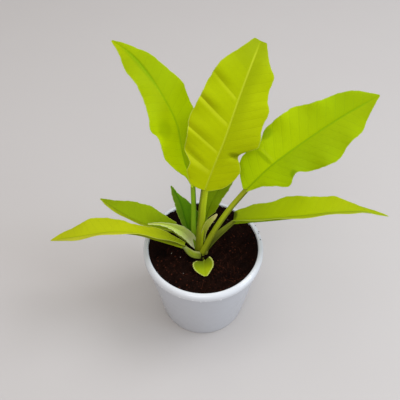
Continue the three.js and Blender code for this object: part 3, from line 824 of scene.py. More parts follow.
def turned(outline, sides):
    """Points and faces of a closed shape turned about the Z axis from (radius, height)."""
    angles = 2 * math.pi * np.arange(sides) / sides
    points = []
    rings = []
    for radius, height in outline:
        if radius == 0:
            rings.append([len(points)] * sides)
            points.append((0.0, 0.0, height))
        else:
            rings.append(list(range(len(points), len(points) + sides)))
            points += [(radius * math.cos(a), radius * math.sin(a), height) for a in angles]
    faces = []
    for low, high in zip(rings, rings[1:]):
        for side in range(sides):
            after = (side + 1) % sides
            corners = [low[side], low[after], high[after], high[side]]
            face = [c for k, c in enumerate(corners) if c != corners[k - 1]]
            if len(face) > 2:
                faces.append(face)
    return points, faces


def arc(middle, wide, high, start, end, steps):
    """Points of an oval arc from the angle start to end, in degrees, as (radius, height)."""
    angles = [math.radians(start + (end - start) * k / steps) for k in range(steps + 1)]
    return [(middle[0] + wide * math.cos(a), middle[1] + high * math.sin(a)) for a in angles]


class Shade:
    """A number that varies over a surface. Sums written on it become Math nodes."""

    def __init__(self, finish, socket):
        self.finish = finish
        self.socket = socket

    def math(self, operation, *terms):
        node = self.finish.node("ShaderNodeMath", {"operation": operation}, dict(enumerate(terms)))
        return Shade(self.finish, node.outputs[0])

    def __add__(self, other):
        return self.math("ADD", self, other)

    def __sub__(self, other):
        return self.math("SUBTRACT", self, other)

    def __rsub__(self, other):
        return self.math("SUBTRACT", other, self)

    def __mul__(self, other):
        return self.math("MULTIPLY", self, other)

    __radd__ = __add__
    __rmul__ = __mul__

    def __abs__(self):
        return self.math("ABSOLUTE", self)

    def __mod__(self, other):
        return self.math("FLOORED_MODULO", self, other)

    def eased(self, low, high):
        """0 up to low and 1 from high on. low may be above high, which turns it round."""
        sockets = {"Value": self, "From Min": low, "From Max": high}
        node = self.finish.node("ShaderNodeMapRange", {"interpolation_type": "SMOOTHSTEP"}, sockets)
        return Shade(self.finish, node.outputs[0])


class Finish:
    """A material in the making. All its nodes are added here."""

    def __init__(self, title):
        self.material = bpy.data.materials.new(title)
        self.material.use_nodes = True
        self.tree = self.material.node_tree
        self.tree.nodes.clear()

    def node(self, kind, settings=None, sockets=None):
        """Adds a node, sets it up, and then gives its sockets their values or links. The setting
        stops holds a colour ramp's (place, colour) pairs."""
        node = self.tree.nodes.new(kind)
        for title, value in (settings or {}).items():
            if title == "stops":
                ramp = node.color_ramp.elements
                while len(ramp) < len(value):
                    ramp.new(0.5)
                for stop, (place, colour) in zip(ramp, value):
                    stop.position = place
                    stop.color = colour
            else:
                setattr(node, title, value)
        for title, value in (sockets or {}).items():
            if isinstance(title, int):
                socket = node.inputs[title]
            else:
                socket = next(s for s in node.inputs if title in (s.identifier, s.name))
            if isinstance(value, Shade):
                value = value.socket
            if isinstance(value, bpy.types.NodeSocket):
                self.tree.links.new(value, socket)
            else:
                socket.default_value = value
        return node

    def reading(self, title, output="Fac"):
        """What a piece holds at its points under a name."""
        return Shade(self, self.node("ShaderNodeAttribute", {"attribute_name": title}).outputs[output])

    def place(self):
        """The place on the surface, in metres."""
        return self.node("ShaderNodeTexCoord").outputs["Object"]

    def grain(self, vector, scale, detail, roughness=0.5):
        """Soft random pattern from 0 to 1."""
        sockets = {"Vector": vector, "Scale": scale, "Detail": detail, "Roughness": roughness}
        return Shade(self, self.node("ShaderNodeTexNoise", None, sockets).outputs["Fac"])

    def ramp(self, place, tones):
        """Colours that change from one tone to the next over a place from 0 to 1."""
        stops = [(part, linear(code)) for part, code in tones]
        return self.node("ShaderNodeValToRGB", {"stops": stops}, {"Fac": place}).outputs["Color"]

    def blend(self, factor, first, second):
        """The first colour where factor is 0, and the second where it is 1."""
        sockets = {"Factor_Float": factor, "A_Color": first, "B_Color": second}
        node = self.node("ShaderNodeMix", {"data_type": "RGBA"}, sockets)
        return next(output for output in node.outputs if output.identifier == "Result_Color")

    def layers(self, colour, *coats):
        """A colour under coats of (strength, colour code), each laid over those before it."""
        for strength, code in coats:
            colour = self.blend(strength, colour, linear(code))
        return colour

    def bump(self, height, distance, strength):
        """A normal that shows height as relief of that distance."""
        sockets = {"Height": height, "Distance": distance, "Strength": strength}
        return self.node("ShaderNodeBump", None, sockets).outputs["Normal"]

    def surface(self, sockets):
        """The main shader, with these values and links."""
        return self.node("ShaderNodeBsdfPrincipled", None, sockets).outputs["BSDF"]

    def done(self, shader):
        """The material, once this shader is on its surface."""
        self.node("ShaderNodeOutputMaterial", None, {"Surface": shader})
        return self.material


def plastic_finish(pot):
    """Glossy white plastic with dust specks, a rim painted paler as painted light, darker blotches and a
    painted contact shadow at the foot, soil stain with painted shade on the inner wall, and painted
    glints along the lip.
    """
    finish = Finish("white_plastic")
    place = finish.place()
    apart = finish.node("ShaderNodeSeparateXYZ", None, {"Vector": place})
    x, y, z = (Shade(finish, output) for output in apart.outputs)
    radius = (x * x + y * y).math("SQRT")
    cloud = finish.grain(place, 22, 3)
    speck = finish.grain(place, 900, 2).eased(0.7, 0.76)
    # Soil stain with painted shade on the inner wall, from a little below the top down
    stain_and_shade_inside = radius.eased(MOUTH_RADIUS + 0.0004, MOUTH_RADIUS + 0.0002) * z.eased(0.004, 0.006)
    stain_and_shade_inside = stain_and_shade_inside * z.eased(POT_HEIGHT - 0.0008, POT_HEIGHT - 0.0014)
    # Darker blotches near the foot, and a painted contact shadow along its lowest edge
    foot = z.eased(0.006, 0.0) * cloud.eased(0.35, 0.7) * 0.25 + z.eased(0.0016, 0.0004) * 0.5
    # The rim is painted paler than the body: painted light where it faces the lamps
    rim = z.eased(POT_HEIGHT - RIM_DEPTH, POT_HEIGHT - RIM_DEPTH + 0.003)
    # Painted glints: bright painted highlights scattered along the lower part of the rim
    lip = z.eased(POT_HEIGHT - 0.0105, POT_HEIGHT - 0.0088)
    lip = lip * z.eased(POT_HEIGHT - 0.004, POT_HEIGHT - 0.007)
    painted_glints = finish.grain(place, 420, 3).eased(0.6, 0.68) * lip
    colour = finish.layers(
        tuple(pot.colour),
        (cloud * 0.35, "b5b9c4"),
        # Painted light on the rim, dust specks with a painted contact shadow at the foot, soil stain with
        # painted shade inside, painted glints
        (rim * (0.72 - cloud * 0.2), "d6dae1"),
        (speck * 0.18 + foot, "8c867a"),
        (stain_and_shade_inside * (cloud * 0.3 + 0.68), "2c1a12"),
        (painted_glints * 0.9, "fcfdff"),
    )
    return finish.done(finish.surface({
        "Base Color": colour,
        "Roughness": pot.roughness + cloud * 0.08 + stain_and_shade_inside * 0.4,
        "Specular IOR Level": 0.5,
        "Normal": finish.bump(finish.grain(place, 60, 1), 0.0012, 0.35),
    }))


def soil_finish(soil):
    """Damp dark potting mix."""
    finish = Finish("potting_mix")
    place = finish.place()
    patch = finish.grain(place, 45, 3).eased(0.35, 0.7)
    fine = finish.grain(place, 620, 4, 0.65)
    return finish.done(finish.surface({
        "Base Color": finish.layers(
            tuple(soil.colour), (patch, "0c0504"), (fine.eased(0.55, 0.75) * 0.5, "2c120a"),
        ),
        "Roughness": 0.95 - fine * 0.2,
        "Specular IOR Level": 0.04,
        "Normal": finish.bump(fine, 0.0016, 0.9),
    }))


def loose_finish(title, tones, roughness):
    """Loose bits of the mix, each with a tone of its own."""
    finish = Finish(title)
    fine = finish.grain(finish.place(), 1500, 2)
    return finish.done(finish.surface({
        "Base Color": finish.ramp(finish.reading("tone") + (fine - 0.5) * 0.3, tones),
        "Roughness": roughness,
        "Specular IOR Level": 0.06,
        "Normal": finish.bump(fine, 0.0004, 0.6),
    }))


def blade_finish(title, look, leaf):
    """A blade: tones along the way that carry painted light too, side veins, painted fold highlights and
    shade, midrib, pale edge and duller underside.
    """
    finish = Finish(title)
    place = finish.place()
    part, across, inset, vein, upper = (
        finish.reading(name) for name in ("part", "across", "inset", "vein", "upper")
    )
    cloud = finish.grain(place, 38, 3)
    mottle = finish.grain(place, 320, 3, 0.6)
    lower_side = upper.eased(0.6, 0.3)
    left, right = (finish.ramp(part + (cloud - 0.5) * 0.16, tones) for tones in look["tones"])
    clear = abs(across).eased(0.0008, 0.003)
    side_vein = (abs(vein % 1 - 0.5) * 2).eased(0.86, 0.99) * clear
    minor = (abs(vein * 4 % 1 - 0.5) * 2).eased(0.7, 1.0) * clear
    # Painted light on the left half's folds: a highlight along each side vein, and shade in the dip above
    # it
    fold_shading = part.eased(0.78, 0.6) * across.eased(-0.001, -0.004) * look.get("fold_shading", 0)
    dip_shade = (vein % 1).eased(0.26, 0.04) * inset.eased(0.024, 0.006) * part.eased(0.3, 0.45)
    # A band of painted shade on the right half beside the midrib, where the blade folds up
    shade_band_code, shade_band_strength = look.get("shade_band", (look["under"], 0))
    shade_band = across.eased(0.0, 0.001) * across.eased(0.015, 0.003) * part.eased(0.25, 0.7)
    # Soft ovals of another tone: mostly painted shade in folds, notches and crevices, one a painted
    # highlight
    shade_and_light_patches = []
    for way, off, length, width, code, strength in look.get("shade_and_light_patches", ()):
        ahead = (part - way) * (1 / length)
        aside = (across - off) * (1 / width)
        shade_and_light_patches.append(((ahead * ahead + aside * aside).eased(1.0, 0.1) * strength, code))
    rib = abs(across).eased(0.0012, 0.0004) * part.eased(1.02, 0.85)
    margin, margin_strength = look.get("margin", (0.0008, 0.4))
    colour = finish.layers(
        finish.blend(across.eased(-0.0005, 0.0005), left, right),
        (side_vein * 0.13 + minor * 0.05, look["under"]),
        (mottle.eased(0.5, 0.8) * 0.16, look["under"]),
        (lower_side * 0.85, look["under"]),
        # Painted highlights on the fold ridges, painted shade in their dips, then the band and patches of
        # painted shade and light
        ((vein % 1).eased(0.82, 0.94) * fold_shading, "dde62c"),
        (dip_shade * fold_shading * 1.6, "848200"),
        (shade_band * shade_band_strength, shade_band_code),
        *shade_and_light_patches,
        (rib * look.get("rib_shade", 0.75), look["midrib"]),
        (inset.eased(margin, margin * 0.2) * margin_strength, "ced673"),
    )
    main = finish.surface({
        "Base Color": colour,
        "Roughness": leaf.roughness + lower_side * 0.15 + (mottle - 0.5) * 0.12,
        "Specular IOR Level": 0.05,
        "Normal": finish.bump(mottle * 0.25 - side_vein * 0.25 - minor * 0.1, 0.0003, 0.8),
    })
    light = {"Color": linear(look["tones"][0][1][1])}
    through = finish.node("ShaderNodeBsdfTranslucent", None, light).outputs["BSDF"]
    mixed = finish.node("ShaderNodeMixShader", None, {0: leaf.light_through, 1: main, 2: through})
    return finish.done(mixed.outputs["Shader"])


def stalk_finish(title, look):
    """A leaf stalk: its tones from the foot up, sides painted lighter and darker as painted light and
    shade, streaks and small speckles.
    """
    finish = Finish(title)
    part, side = (finish.reading(name) for name in ("part", "side"))
    streak = finish.grain(finish.reading("grain", "Vector"), 420, 3)
    speck = finish.grain(finish.place(), 1100, 2).eased(0.58, 0.72)
    # The left and the right side of a stalk are painted lighter and darker, as painted light and shade
    left, right = look.get("sides", ((look["dark"], 0.2), (look["dark"], 0.2)))
    colour = finish.layers(
        finish.ramp(part, look["tones"]),
        (side.eased(-0.1, -0.8) * left[1], left[0]),
        (side.eased(0.1, 0.8) * right[1], right[0]),
        (streak.eased(0.35, 0.7) * look.get("streaks", 0.3), look["dark"]),
        (speck * look.get("speckles", 0.1) * 0.6, "bcc044"),
    )
    return finish.done(finish.surface({
        "Base Color": colour,
        "Roughness": 0.4 + streak * 0.15,
        "Specular IOR Level": 0.15,
        "Normal": finish.bump(streak, 0.0004, 0.6),
    }))


def sheath_finish(title, look):
    """A thin papery sheath with a waxy gloss and lengthwise streaks."""
    finish = Finish(title)
    part, across, inset = (finish.reading(name) for name in ("part", "across", "inset"))
    streak = (finish.grain(finish.place(), 160, 2) - 0.5) * 0.5
    ribs = (abs((across * 900 + streak) % 1 - 0.5) * 2).eased(0.3, 1.0)
    edge = inset.eased(0.001, 0.0001)
    tones = finish.ramp(part, look["tones"])
    return finish.done(finish.surface({
        "Base Color": finish.layers(tones, (ribs * 0.3, look["ribs"]), (edge * 0.7, look["edge"])),
        "Roughness": 0.3 + ribs * 0.12,
        "Specular IOR Level": 0.3,
        "Coat Weight": look["coat"],
        "Coat Roughness": 0.25,
        "Normal": finish.bump(ribs, 0.0002, 0.6),
    }))


def floor_finish(stage):
    """A plain pale floor with a faint cloudiness."""
    finish = Finish("pale_floor")
    cloud = finish.grain(finish.place(), 9, 3)
    return finish.done(finish.surface({
        "Base Color": finish.layers(tuple(stage.floor_colour), (cloud * 0.25, "b0abac")),
        "Roughness": 0.55,
        "Specular IOR Level": 0.3,
    }))


def pot_inside(height):
    """Radius of the pot's inner wall at a height."""
    part = (height - FLOOR) / (POT_HEIGHT - FLOOR)
    return (BASE_RADIUS - WALL) * (1 - part) + MOUTH_RADIUS * part


def pot_outline():
    """The pot's section as (radius, height), from the middle of its base round to its floor."""
    rim = POT_HEIGHT - RIM_DEPTH
    foot = 0.0015
    lip = 0.0006
    inner = 0.0009
    return [
        (0, 0),
        (RECESS_INNER, 0),
        (RECESS_INNER + 0.001, RECESS_DEPTH),
        (RECESS_OUTER, RECESS_DEPTH),
        (RECESS_OUTER + 0.001, 0),
        *arc((BASE_RADIUS - foot, foot), foot, foot, -90, 0, 5),
        (NECK_RADIUS - 0.0003, rim - 0.003),
        *arc((NECK_RADIUS - 0.0001, rim - 0.0006), 0.0006, 0.0006, 180, 90, 4),
        *arc((RIM_RADIUS - lip, rim + lip), lip, lip, -90, 0, 4),
        *arc((RIM_RADIUS - ROLL_WIDTH, POT_HEIGHT - ROLL_HEIGHT), ROLL_WIDTH, ROLL_HEIGHT, 0, 90, 14),
        *arc((MOUTH_RADIUS + inner, POT_HEIGHT - inner), inner, inner, 90, 170, 6),
        (pot_inside(POT_HEIGHT - 0.004), POT_HEIGHT - 0.004),
        (pot_inside(FLOOR + 0.001), FLOOR + 0.001),
        (pot_inside(FLOOR) - 0.001, FLOOR),
        (0, FLOOR),
    ]


class Heap:
    """Many small shapes gathered into one mesh, each with a tone."""

    def __init__(self):
        self.points = []
        self.faces = []
        self.tones = []

    def add(self, points, faces, tone=0.0):
        start = len(self.points)
        self.points += list(points)
        self.faces += [[start + corner for corner in face] for face in faces]
        self.tones += [tone] * len(points)

    def make(self, name, finish):
        tones = {"tone": self.tones}
        return make_piece(name, self.points, self.faces, finish, sharp=40, readings=tones)


def drilled(piece):
    """Cuts the drain holes through the pot's floor."""
    outline = [(0, -FLOOR), (DRAIN_RADIUS, -FLOOR), (DRAIN_RADIUS, 2 * FLOOR), (0, 2 * FLOOR)]
    points, faces = turned(outline, DRILL_SIDES)
    drills = Heap()
    for hole in range(DRAIN_COUNT):
        angle = 2 * math.pi * hole / DRAIN_COUNT
        middle = (DRAIN_RING_RADIUS * math.cos(angle), DRAIN_RING_RADIUS * math.sin(angle), 0)
        drills.add(np.array(points) + middle, faces)
    cutter = add_object("drills", new_mesh("drills", drills.points, drills.faces))
    cut = piece.modifiers.new("drain_holes", "BOOLEAN")
    cut.operation = "DIFFERENCE"
    cut.solver = "EXACT"
    cut.object = cutter
    bpy.context.view_layer.update()
    evaluated = piece.evaluated_get(bpy.context.evaluated_depsgraph_get())
    finished = bpy.data.meshes.new_from_object(evaluated)
    if len(finished.polygons) <= len(piece.data.polygons):
        raise RuntimeError("The drain holes could not be cut")
    piece.modifiers.clear()
    piece.data = finished
    bpy.data.objects.remove(cutter)


def soil_height(x, y):
    """Height of the soil at a place: broad lumps, small ones, and a bank against the wall."""
    lump = LUMP_HEIGHT * (
        math.sin(310 * x + 1.3 * math.sin(170 * y)) * math.cos(270 * y + 0.9)
        + 0.6 * math.sin(630 * x - 510 * y)
    )
    bank = float(eased(math.hypot(x, y), MOUTH_RADIUS - SOIL_BANK_WIDTH, MOUTH_RADIUS - 0.001))
    uneven = bpy.context.scene.plant.soil.unevenness
    small = noise.fractal(Vector((x, y, 0)) * 260, 0.8, 2.1, 4) * uneven
    return SOIL_TOP + lump * (1 - 0.6 * bank) + small + SOIL_BANK * bank


def chip(rng, centre, size, flatness=0.6):
    """An irregular crumb: a small ball of twelve corners, each pulled in or out."""
    golden = (1 + math.sqrt(5)) / 2
    pairs = [(a, b) for a in (-1, 1) for b in (-golden, golden)]
    corners = [Vector(c) for a, b in pairs for c in ((0, a, b), (a, b, 0), (b, 0, a))]
    ball = bmesh.new()
    for corner in corners:
        x, y, z = corner.normalized() * size * rng.uniform(0.6, 1.15)
        ball.verts.new((x, y * rng.uniform(0.7, 1.0), z * flatness))
    bmesh.ops.convex_hull(ball, input=list(ball.verts))
    turn = Matrix.Rotation(rng.uniform(0, math.tau), 3, "Z")
    turn = turn @ Matrix.Rotation(rng.uniform(-0.7, 0.7), 3, "X")
    used = [v for v in ball.verts if v.link_faces]
    place = {v: k for k, v in enumerate(used)}
    points = [turn @ v.co + Vector(centre) for v in used]
    faces = [[place[v] for v in face.verts] for face in ball.faces]
    ball.free()
    return points, faces


def on_soil(x, y, lift):
    return x, y, soil_height(x, y) + lift


def scattered_spot(rng, reach):
    """A random place on the soil, even over the disc of that radius."""
    radius = reach * math.sqrt(rng.random())
    angle = rng.uniform(0, math.tau)
    return radius * math.cos(angle), radius * math.sin(angle)


def fibre(rng, x, y, length, radius):
    """A stiff bent thread lying on the soil."""
    rings = 9
    sides = 5
    heading = rng.uniform(0, math.tau)
    bend = rng.uniform(-60, 60)
    hump = rng.uniform(0.0, 0.0012)
    points = []
    for ring in range(rings):
        part = ring / (rings - 1)
        middle = Vector(on_soil(x, y, radius + hump * math.sin(math.pi * part)))
        ahead = Vector((math.cos(heading), math.sin(heading), 0))
        side = Vector((-ahead.y, ahead.x, 0))
        thin = radius * (1 - 0.7 * abs(2 * part - 1) ** 3)
        for corner in range(sides):
            turn = -2 * math.pi * corner / sides
            up = Vector((0, 0, thin * math.sin(turn)))
            points.append(middle + side * thin * math.cos(turn) + up)
        x += ahead.x * length / (rings - 1)
        y += ahead.y * length / (rings - 1)
        heading += bend * length / rings + rng.uniform(-0.12, 0.12)
    return points, ring_faces(rings, sides)


def folds(blade, along, across, out, inset, look):
    """Count of the side vein at each point of a blade, and the height of its folds: an arch
    from vein to vein, the pressed first vein, the groove of the midrib and a droop outwards."""

    def each_half(title):
        return np.where(across < 0, *look.get(title, (0, 0)))

    pleats, gap, first, lean = (np.where(across < 0, *pair) for pair in look["veins"])
    reach = np.abs(across)
    far = along * blade.route.length
    start = far - lean * (1 - each_half("fan") * (1 - along) ** 2) * out
    vein = (start - first) / gap
    if "fold_places" in look:
        uneven = np.interp(start, look["fold_places"], range(len(look["fold_places"])))
        vein = np.where(across < 0, uneven, vein)
    part = vein % 1
    finer = vein * 4 % 1
    arch = eased(part, 0, 0.3) * (1 - part ** 3) + 0.3 * finer * (1 - finer)
    fade = (0.2 + 0.8 * eased(out, 0.003, 0.02)) * eased(inset, -0.008, 0.003)
    ends = eased(along, 0, 0.06) * eased(along, 1, 0.85)
    fade *= 1 - 0.8 * eased(along, 0.68, 0.82)
    pressed = np.exp(-np.abs(start - each_half("crease_start")) / CREASE_WIDTH)
    pressed *= eased(reach, 0.25, 0.85)
    height = pleats * arch * fade * ends - each_half("crease") * pressed
    groove = np.exp(-((out / GROOVE_WIDTH) ** 2)) * eased(along, 1, 0.8)
    height -= look.get("groove", MIDRIB_GROOVE) * groove
    height -= DROOP * np.max(out) * reach ** 2 * ends
    height -= each_half("calm") * blade.ripple(along, across)
    return vein, height


def blade_sheet(blade, rows, columns, settings, look=None):
    """Points, faces and readings of a blade's closed sheet. Folds lie between its side veins."""
    leaf = blade.leaf
    half = (np.arange(columns + 1) / columns) ** 1.25
    across = np.concatenate((-half[:0:-1], half))
    along = (np.arange(rows + 1) / rows) ** 1.1
    along, across = np.meshgrid(along, across, indexing="ij")
    width = blade.half_width(along, across)
    side = np.where(across < 0, 1.7, 0.0)
    wander = np.sin(57 * along + side) + 0.7 * np.sin(101 * along + 2 * side)
    wander += 0.5 * np.sin(167 * along + side)
    ends = np.sin(math.pi * np.clip(along, 0, 1)) ** 0.3
    width = width + settings.edge_wear * 0.5 * wander * ends
    surface_points = blade.surface(along, across, width)
    down_rows = np.gradient(surface_points, axis=0)
    over_columns = np.gradient(surface_points, axis=1)
    normals = unit(np.cross(over_columns, down_rows))
    out = width * np.abs(across)
    inset = width - out
    vein, height = folds(blade, along, across, out, inset, look) if look else (0 * out, 0 * out)
    surface_points = surface_points + normals * height[..., None]
    thick = settings.thickness * (0.5 + 0.5 * eased(inset, 0, 0.003))
    rib = leaf.get("rib", 0) * (1 - along) ** 1.3 * (1 - eased(np.abs(across), 0, RIB_REACH))
    top = surface_points + normals * (thick / 2)[..., None]
    bottom = surface_points - normals * (thick / 2 + rib)[..., None]
    points = np.concatenate((top.reshape(-1, 3), bottom.reshape(-1, 3)))
    twice = {"part": along, "across": np.sign(across) * out, "inset": inset, "vein": vein}
    readings = {name: np.tile(values.ravel(), 2) for name, values in twice.items()}
    readings["upper"] = np.repeat((1.0, 0.0), along.size)
    return points, sheet_faces(rows + 1, 2 * columns + 1), readings


def stalk_rings(leaf, blade):
    """Points and readings of a leaf stalk: rounded below, flatter and hollowed above, and
    running on into the midrib under the blade."""
    middle, ahead, up, _ = (values.reshape(3) for values in blade.frame(np.zeros(1)))
    top = middle - ahead * GAP - up * 0.5 * (leaf["rib"] + BLADE_THICKNESS / 2)
    route = Route([*leaf["stalk"], top])
    part = np.linspace(0, 1, STALK_RINGS)
    centres, headings = route.at(part)
    neck = np.linspace(0, 1, NECK_RINGS + 1)[1:]
    under, on, lifts, _ = blade.frame(neck * NECK_LENGTH / blade.route.length)
    centres = np.vstack((centres, under - lifts * 0.4 * leaf["rib"]))
    headings = np.vstack((headings, on))
    ups = unit(up - headings * (headings @ up)[:, None])
    rights = np.cross(headings, ups)
    thin = np.concatenate((np.ones(STALK_RINGS), 1 - 0.85 * eased(neck, -0.2, 1)))
    place = np.concatenate((part, np.ones(NECK_RINGS)))
    half_width = profile(leaf["stalk_width"], place) / 2 * thin
    half_depth = profile(leaf["stalk_depth"], place) / 2 * thin
    turn = 2 * math.pi * np.arange(STALK_SIDES) / STALK_SIDES
    high = np.where(np.sin(turn) > 0, 0.7, 1)
    cup = leaf.get("cup", 0.0004) * (1 - place)
    sideways = half_width[:, None] * np.cos(turn)
    lift = half_depth[:, None] * high * np.sin(turn) + cup[:, None] * np.cos(turn) ** 2
    points = centres[:, None] + rights[:, None] * sideways[..., None] + ups[:, None] * lift[..., None]
    far = np.concatenate((part * route.length, route.length + neck * NECK_LENGTH))
    rows = len(place)
    stretched = 0.004 * np.cos(turn), 0.004 * np.sin(turn), 0.08 * far[:, None]
    readings = {
        "grain": np.stack(np.broadcast_arrays(*stretched), axis=-1).reshape(-1, 3),
        "part": np.repeat(place, STALK_SIDES),
        "side": np.tile(np.cos(turn), rows),
    }
    return points.reshape(-1, 3), ring_faces(rows, STALK_SIDES), readings


class PLANT_OT_pot(bpy.types.Operator):
    """Turn the pot, drill its floor and give it its glossy plastic"""

    bl_idname = "plant.pot"
    bl_label = "Pot"

    def execute(self, context):
        pot = context.scene.plant.pot
        points, faces = turned(pot_outline(), pot.sides)
        finish = plastic_finish(pot)
        piece = make_piece("white_pot", points, faces, finish, ["pot"])
        drilled(piece)
        piece.data.shade_smooth()
        piece.data.set_sharp_from_angle(angle=math.radians(35))
        return {"FINISHED"}


class PLANT_OT_soil(bpy.types.Operator):
    """Fill the pot with uneven potting mix"""

    bl_idname = "plant.soil"
    bl_label = "Soil"

    def execute(self, context):
        low = FLOOR + GAP
        edge = pot_inside(SOIL_TOP + SOIL_BANK) - GAP / 2
        outline = [(0, low), (pot_inside(low) - GAP, low)]
        outline += [(edge * ring / SOIL_RINGS, SOIL_TOP) for ring in range(SOIL_RINGS, -1, -1)]
        points, faces = turned(outline, SOIL_SIDES)
        points = [on_soil(x, y, 0) if z > SOIL_TOP - GAP else (x, y, z) for x, y, z in points]
        finish = soil_finish(context.scene.plant.soil)
        make_piece("soil_surface", points, faces, finish, ["soil"])
        return {"FINISHED"}


class PLANT_OT_loose(bpy.types.Operator):
    """Scatter crumbs, coir fibres and pale grains over the soil"""

    bl_idname = "plant.loose"
    bl_label = "Crumbs, Fibres and Grains"

    def execute(self, context):
        soil = context.scene.plant.soil
        rng = random.Random(soil.seed)
        crumbs = Heap()
        for _ in range(soil.crumbs):
            x, y = scattered_spot(rng, MOUTH_RADIUS - 0.001)
            size = rng.choice(CRUMB_SIZES) * rng.uniform(0.7, 1.3)
            crumbs.add(*chip(rng, on_soil(x, y, size * 0.15), size), rng.random())
        for _ in range(MOUND_CRUMBS):
            level = rng.random()
            x = CROWN_MOUND[0] + rng.gauss(0, 0.003) * (1 - 0.5 * level)
            y = CROWN_MOUND[1] + rng.gauss(0, 0.0022) * (1 - 0.3 * level)
            size = rng.uniform(0.0006, 0.0013)
            spot = on_soil(x, y, CROWN_MOUND[2] * level)
            crumbs.add(*chip(rng, spot, size, 0.9), rng.uniform(0, 0.7))
        for x, y in RIM_CRUMBS:
            size = rng.uniform(0.0005, 0.0009)
            crumbs.add(*chip(rng, (x, y, POT_HEIGHT + size * 0.3), size), rng.uniform(0, 0.4))
        tones = (0, "0a0403"), (0.55, "160905"), (0.85, "36180e"), (1, "4c2417")
        crumbs.make("soil_crumbs", loose_finish("crumbs", tones, 0.9))

        fibres = Heap()
        for _ in range(soil.fibres):
            x, y = scattered_spot(rng, MOUTH_RADIUS - 0.014)
            size = (rng.uniform(*limits) for limits in FIBRE_SIZES)
            fibres.add(*fibre(rng, x, y, *size), rng.random())
        for _ in range(soil.fibres // 3):
            x, y = (middle + rng.gauss(0, 0.008) for middle in FIBRE_PATCH)
            size = (rng.uniform(*limits) for limits in PATCH_FIBRE_SIZES)
            fibres.add(*fibre(rng, x, y, *size), rng.random())
        tones = (0, "180a06"), (0.6, "2c140c"), (1, "482416")
        fibres.make("coir_fibres", loose_finish("coir", tones, 0.8))

        grains = Heap()
        scattered = (scattered_spot(rng, MOUTH_RADIUS - 0.006) for _ in range(soil.grains))
        for x, y in (*PALE_GRAINS, *scattered):
            size = rng.uniform(*GRAIN_SIZES)
            grains.add(*chip(rng, on_soil(x, y, size * 0.4), size, 0.9), rng.random())
        tones = (0, "7d746c"), (0.6, "b4aca4"), (1, "d8d4cc")
        grains.make("pale_grains", loose_finish("perlite", tones, 0.85))
        return {"FINISHED"}


class PLANT_OT_stem(bpy.types.Operator):
    """Make the short crown that the leaf stalks grow from"""

    bl_idname = "plant.stem"
    bl_label = "Stem"

    def execute(self, context):
        tip = STEM_RADIUS * 0.6
        low = STEM_BOTTOM + 0.016
        high = STEM_TOP - 0.0025
        outline = [(0, STEM_BOTTOM), (tip, STEM_BOTTOM), (STEM_RADIUS, STEM_BOTTOM + 0.014)]
        for part in np.linspace(0, 1, STEM_SCARS * 4 + 1):
            groove = SCAR_DEPTH / 2 * (1 - math.cos(2 * math.pi * part * STEM_SCARS))
            outline.append((STEM_RADIUS - groove, low + (high - low) * part))
        outline += [(tip, STEM_TOP), (0, STEM_TOP)]
        points, faces = turned(outline, STEM_SIDES)
        points = np.array(points) + (STEM_X, STEM_Y, 0)
        part = np.clip((points[:, 2] - STEM_BOTTOM) / (STEM_TOP - STEM_BOTTOM), 0, 1)
        readings = {"grain": points * (1, 1, 0.2), "part": part, "side": 0 * part}
        finish = stalk_finish("crown", CROWN_LOOK)
        make_piece("crown_stem", points, faces, finish, ["stem"], 50, readings)
        return {"FINISHED"}


class PLANT_OT_blades(bpy.types.Operator):
    """Spread every leaf's blade, with its veins, folds and edges"""

    bl_idname = "plant.blades"
    bl_label = "Leaf Blades"

    def execute(self, context):
        settings = context.scene.plant.leaf
        for name, leaf in LEAVES.items():
            share = SMALL_SHARE if name in SMALL_LEAVES else 1
            rows, columns = (round(steps * share) for steps in (settings.rows, settings.columns))
            points, faces, readings = blade_sheet(Blade(leaf), rows, columns, settings, LOOKS[name])
            finish = blade_finish(f"blade_{name}", LOOKS[name], settings)
            nodes = [f"leaf_{name}_blade"]
            make_piece(f"{name}_blade", points, faces, finish, nodes, 60, readings)
        return {"FINISHED"}


class PLANT_OT_stalks(bpy.types.Operator):
    """Run a stalk from the crown to each blade"""

    bl_idname = "plant.stalks"
    bl_label = "Leaf Stalks"

    def execute(self, context):
        for name, leaf in LEAVES.items():
            points, faces, readings = stalk_rings(leaf, Blade(leaf))
            finish = stalk_finish(f"stalk_{name}", STALK_LOOKS[name])
            nodes = [f"leaf_{name}_stalk"]
            make_piece(f"{name}_stalk", points, faces, finish, nodes, 60, readings)
        return {"FINISHED"}


class PLANT_OT_sheaths(bpy.types.Operator):
    """Stand the thin pointed sheaths round the crown"""

    bl_idname = "plant.sheaths"
    bl_label = "Sheaths"

    def execute(self, context):
        settings = context.scene.plant.leaf
        for name, leaf in SHEATHS.items():
            points, faces, readings = blade_sheet(Blade(leaf), SHEATH_ROWS, SHEATH_COLUMNS, settings)
            finish = sheath_finish(f"sheath_{name}", SHEATH_LOOKS[name])
            nodes = [f"sheath_{name}"]
            make_piece(f"{name}_sheath", points, faces, finish, nodes, 60, readings)
        return {"FINISHED"}


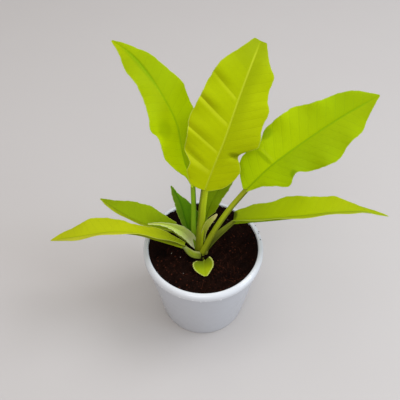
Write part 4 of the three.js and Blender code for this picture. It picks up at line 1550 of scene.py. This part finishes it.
class PLANT_OT_stage(bpy.types.Operator):
    """Lay the floor and set the lamps, the sky and the camera"""

    bl_idname = "plant.stage"
    bl_label = "Stage"

    def execute(self, context):
        scene = context.scene
        stage = scene.plant.stage
        corners = ((-1, -1), (1, -1), (1, 1), (-1, 1))
        points = [(x * FLOOR_REACH, y * FLOOR_REACH, 0) for x, y in corners]
        floor = add_object("floor", new_mesh("floor", points, [range(4)]))
        floor.data.materials.append(floor_finish(stage))
        for name, (size, place, colour) in LAMPS.items():
            light = bpy.data.lights.new(name, "AREA")
            light.energy = getattr(stage, f"{name}_power")
            light.size = size
            light.color = colour
            add_object(name, light, place, LAMP_TARGET)
        world = bpy.data.worlds.new("studio")
        world.use_nodes = True
        sky = next(node for node in world.node_tree.nodes if node.type == "BACKGROUND")
        sky.inputs["Color"].default_value = (1.0, 0.965, 0.92, 1.0)
        sky.inputs["Strength"].default_value = stage.sky
        scene.world = world
        scene.view_settings.view_transform = "Standard"
        lens = bpy.data.cameras.new("camera")
        lens.sensor_width = 36
        lens.lens = stage.lens
        lens.clip_start = 0.01
        scene.camera = add_object("camera", lens, stage.eye, stage.target)
        return {"FINISHED"}


STEPS = (
    PLANT_OT_pot,
    PLANT_OT_soil,
    PLANT_OT_loose,
    PLANT_OT_stem,
    PLANT_OT_blades,
    PLANT_OT_stalks,
    PLANT_OT_sheaths,
    PLANT_OT_stage,
)


class PLANT_PT_parts(bpy.types.Panel):
    """Lists the pieces of the potted plant and their settings"""

    bl_idname = "PLANT_PT_parts"
    bl_label = "Potted Philodendron"
    bl_space_type = "VIEW_3D"
    bl_region_type = "UI"
    bl_category = "Philodendron"

    def draw(self, context):
        layout = self.layout
        for step in STEPS:
            layout.operator(step.bl_idname)
        plant = context.scene.plant
        for title in ("pot", "soil", "leaf", "stage"):
            box = layout.box()
            box.label(text=title.capitalize())
            group = getattr(plant, title)
            for name in group.bl_rna.properties.keys():
                if name not in ("rna_type", "name"):
                    box.prop(group, name)


CLASSES = (PotSettings, SoilSettings, LeafSettings, StageSettings, PlantSettings, *STEPS, PLANT_PT_parts)


def register():
    for kind in CLASSES:
        bpy.utils.register_class(kind)
    bpy.types.Scene.plant = bpy.props.PointerProperty(type=PlantSettings)


def unregister():
    del bpy.types.Scene.plant
    for kind in reversed(CLASSES):
        bpy.utils.unregister_class(kind)


def main():
    register()
    for step in STEPS:
        getattr(bpy.ops.plant, step.bl_idname.split(".")[1])()
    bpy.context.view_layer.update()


if __name__ == "__main__":
    main()
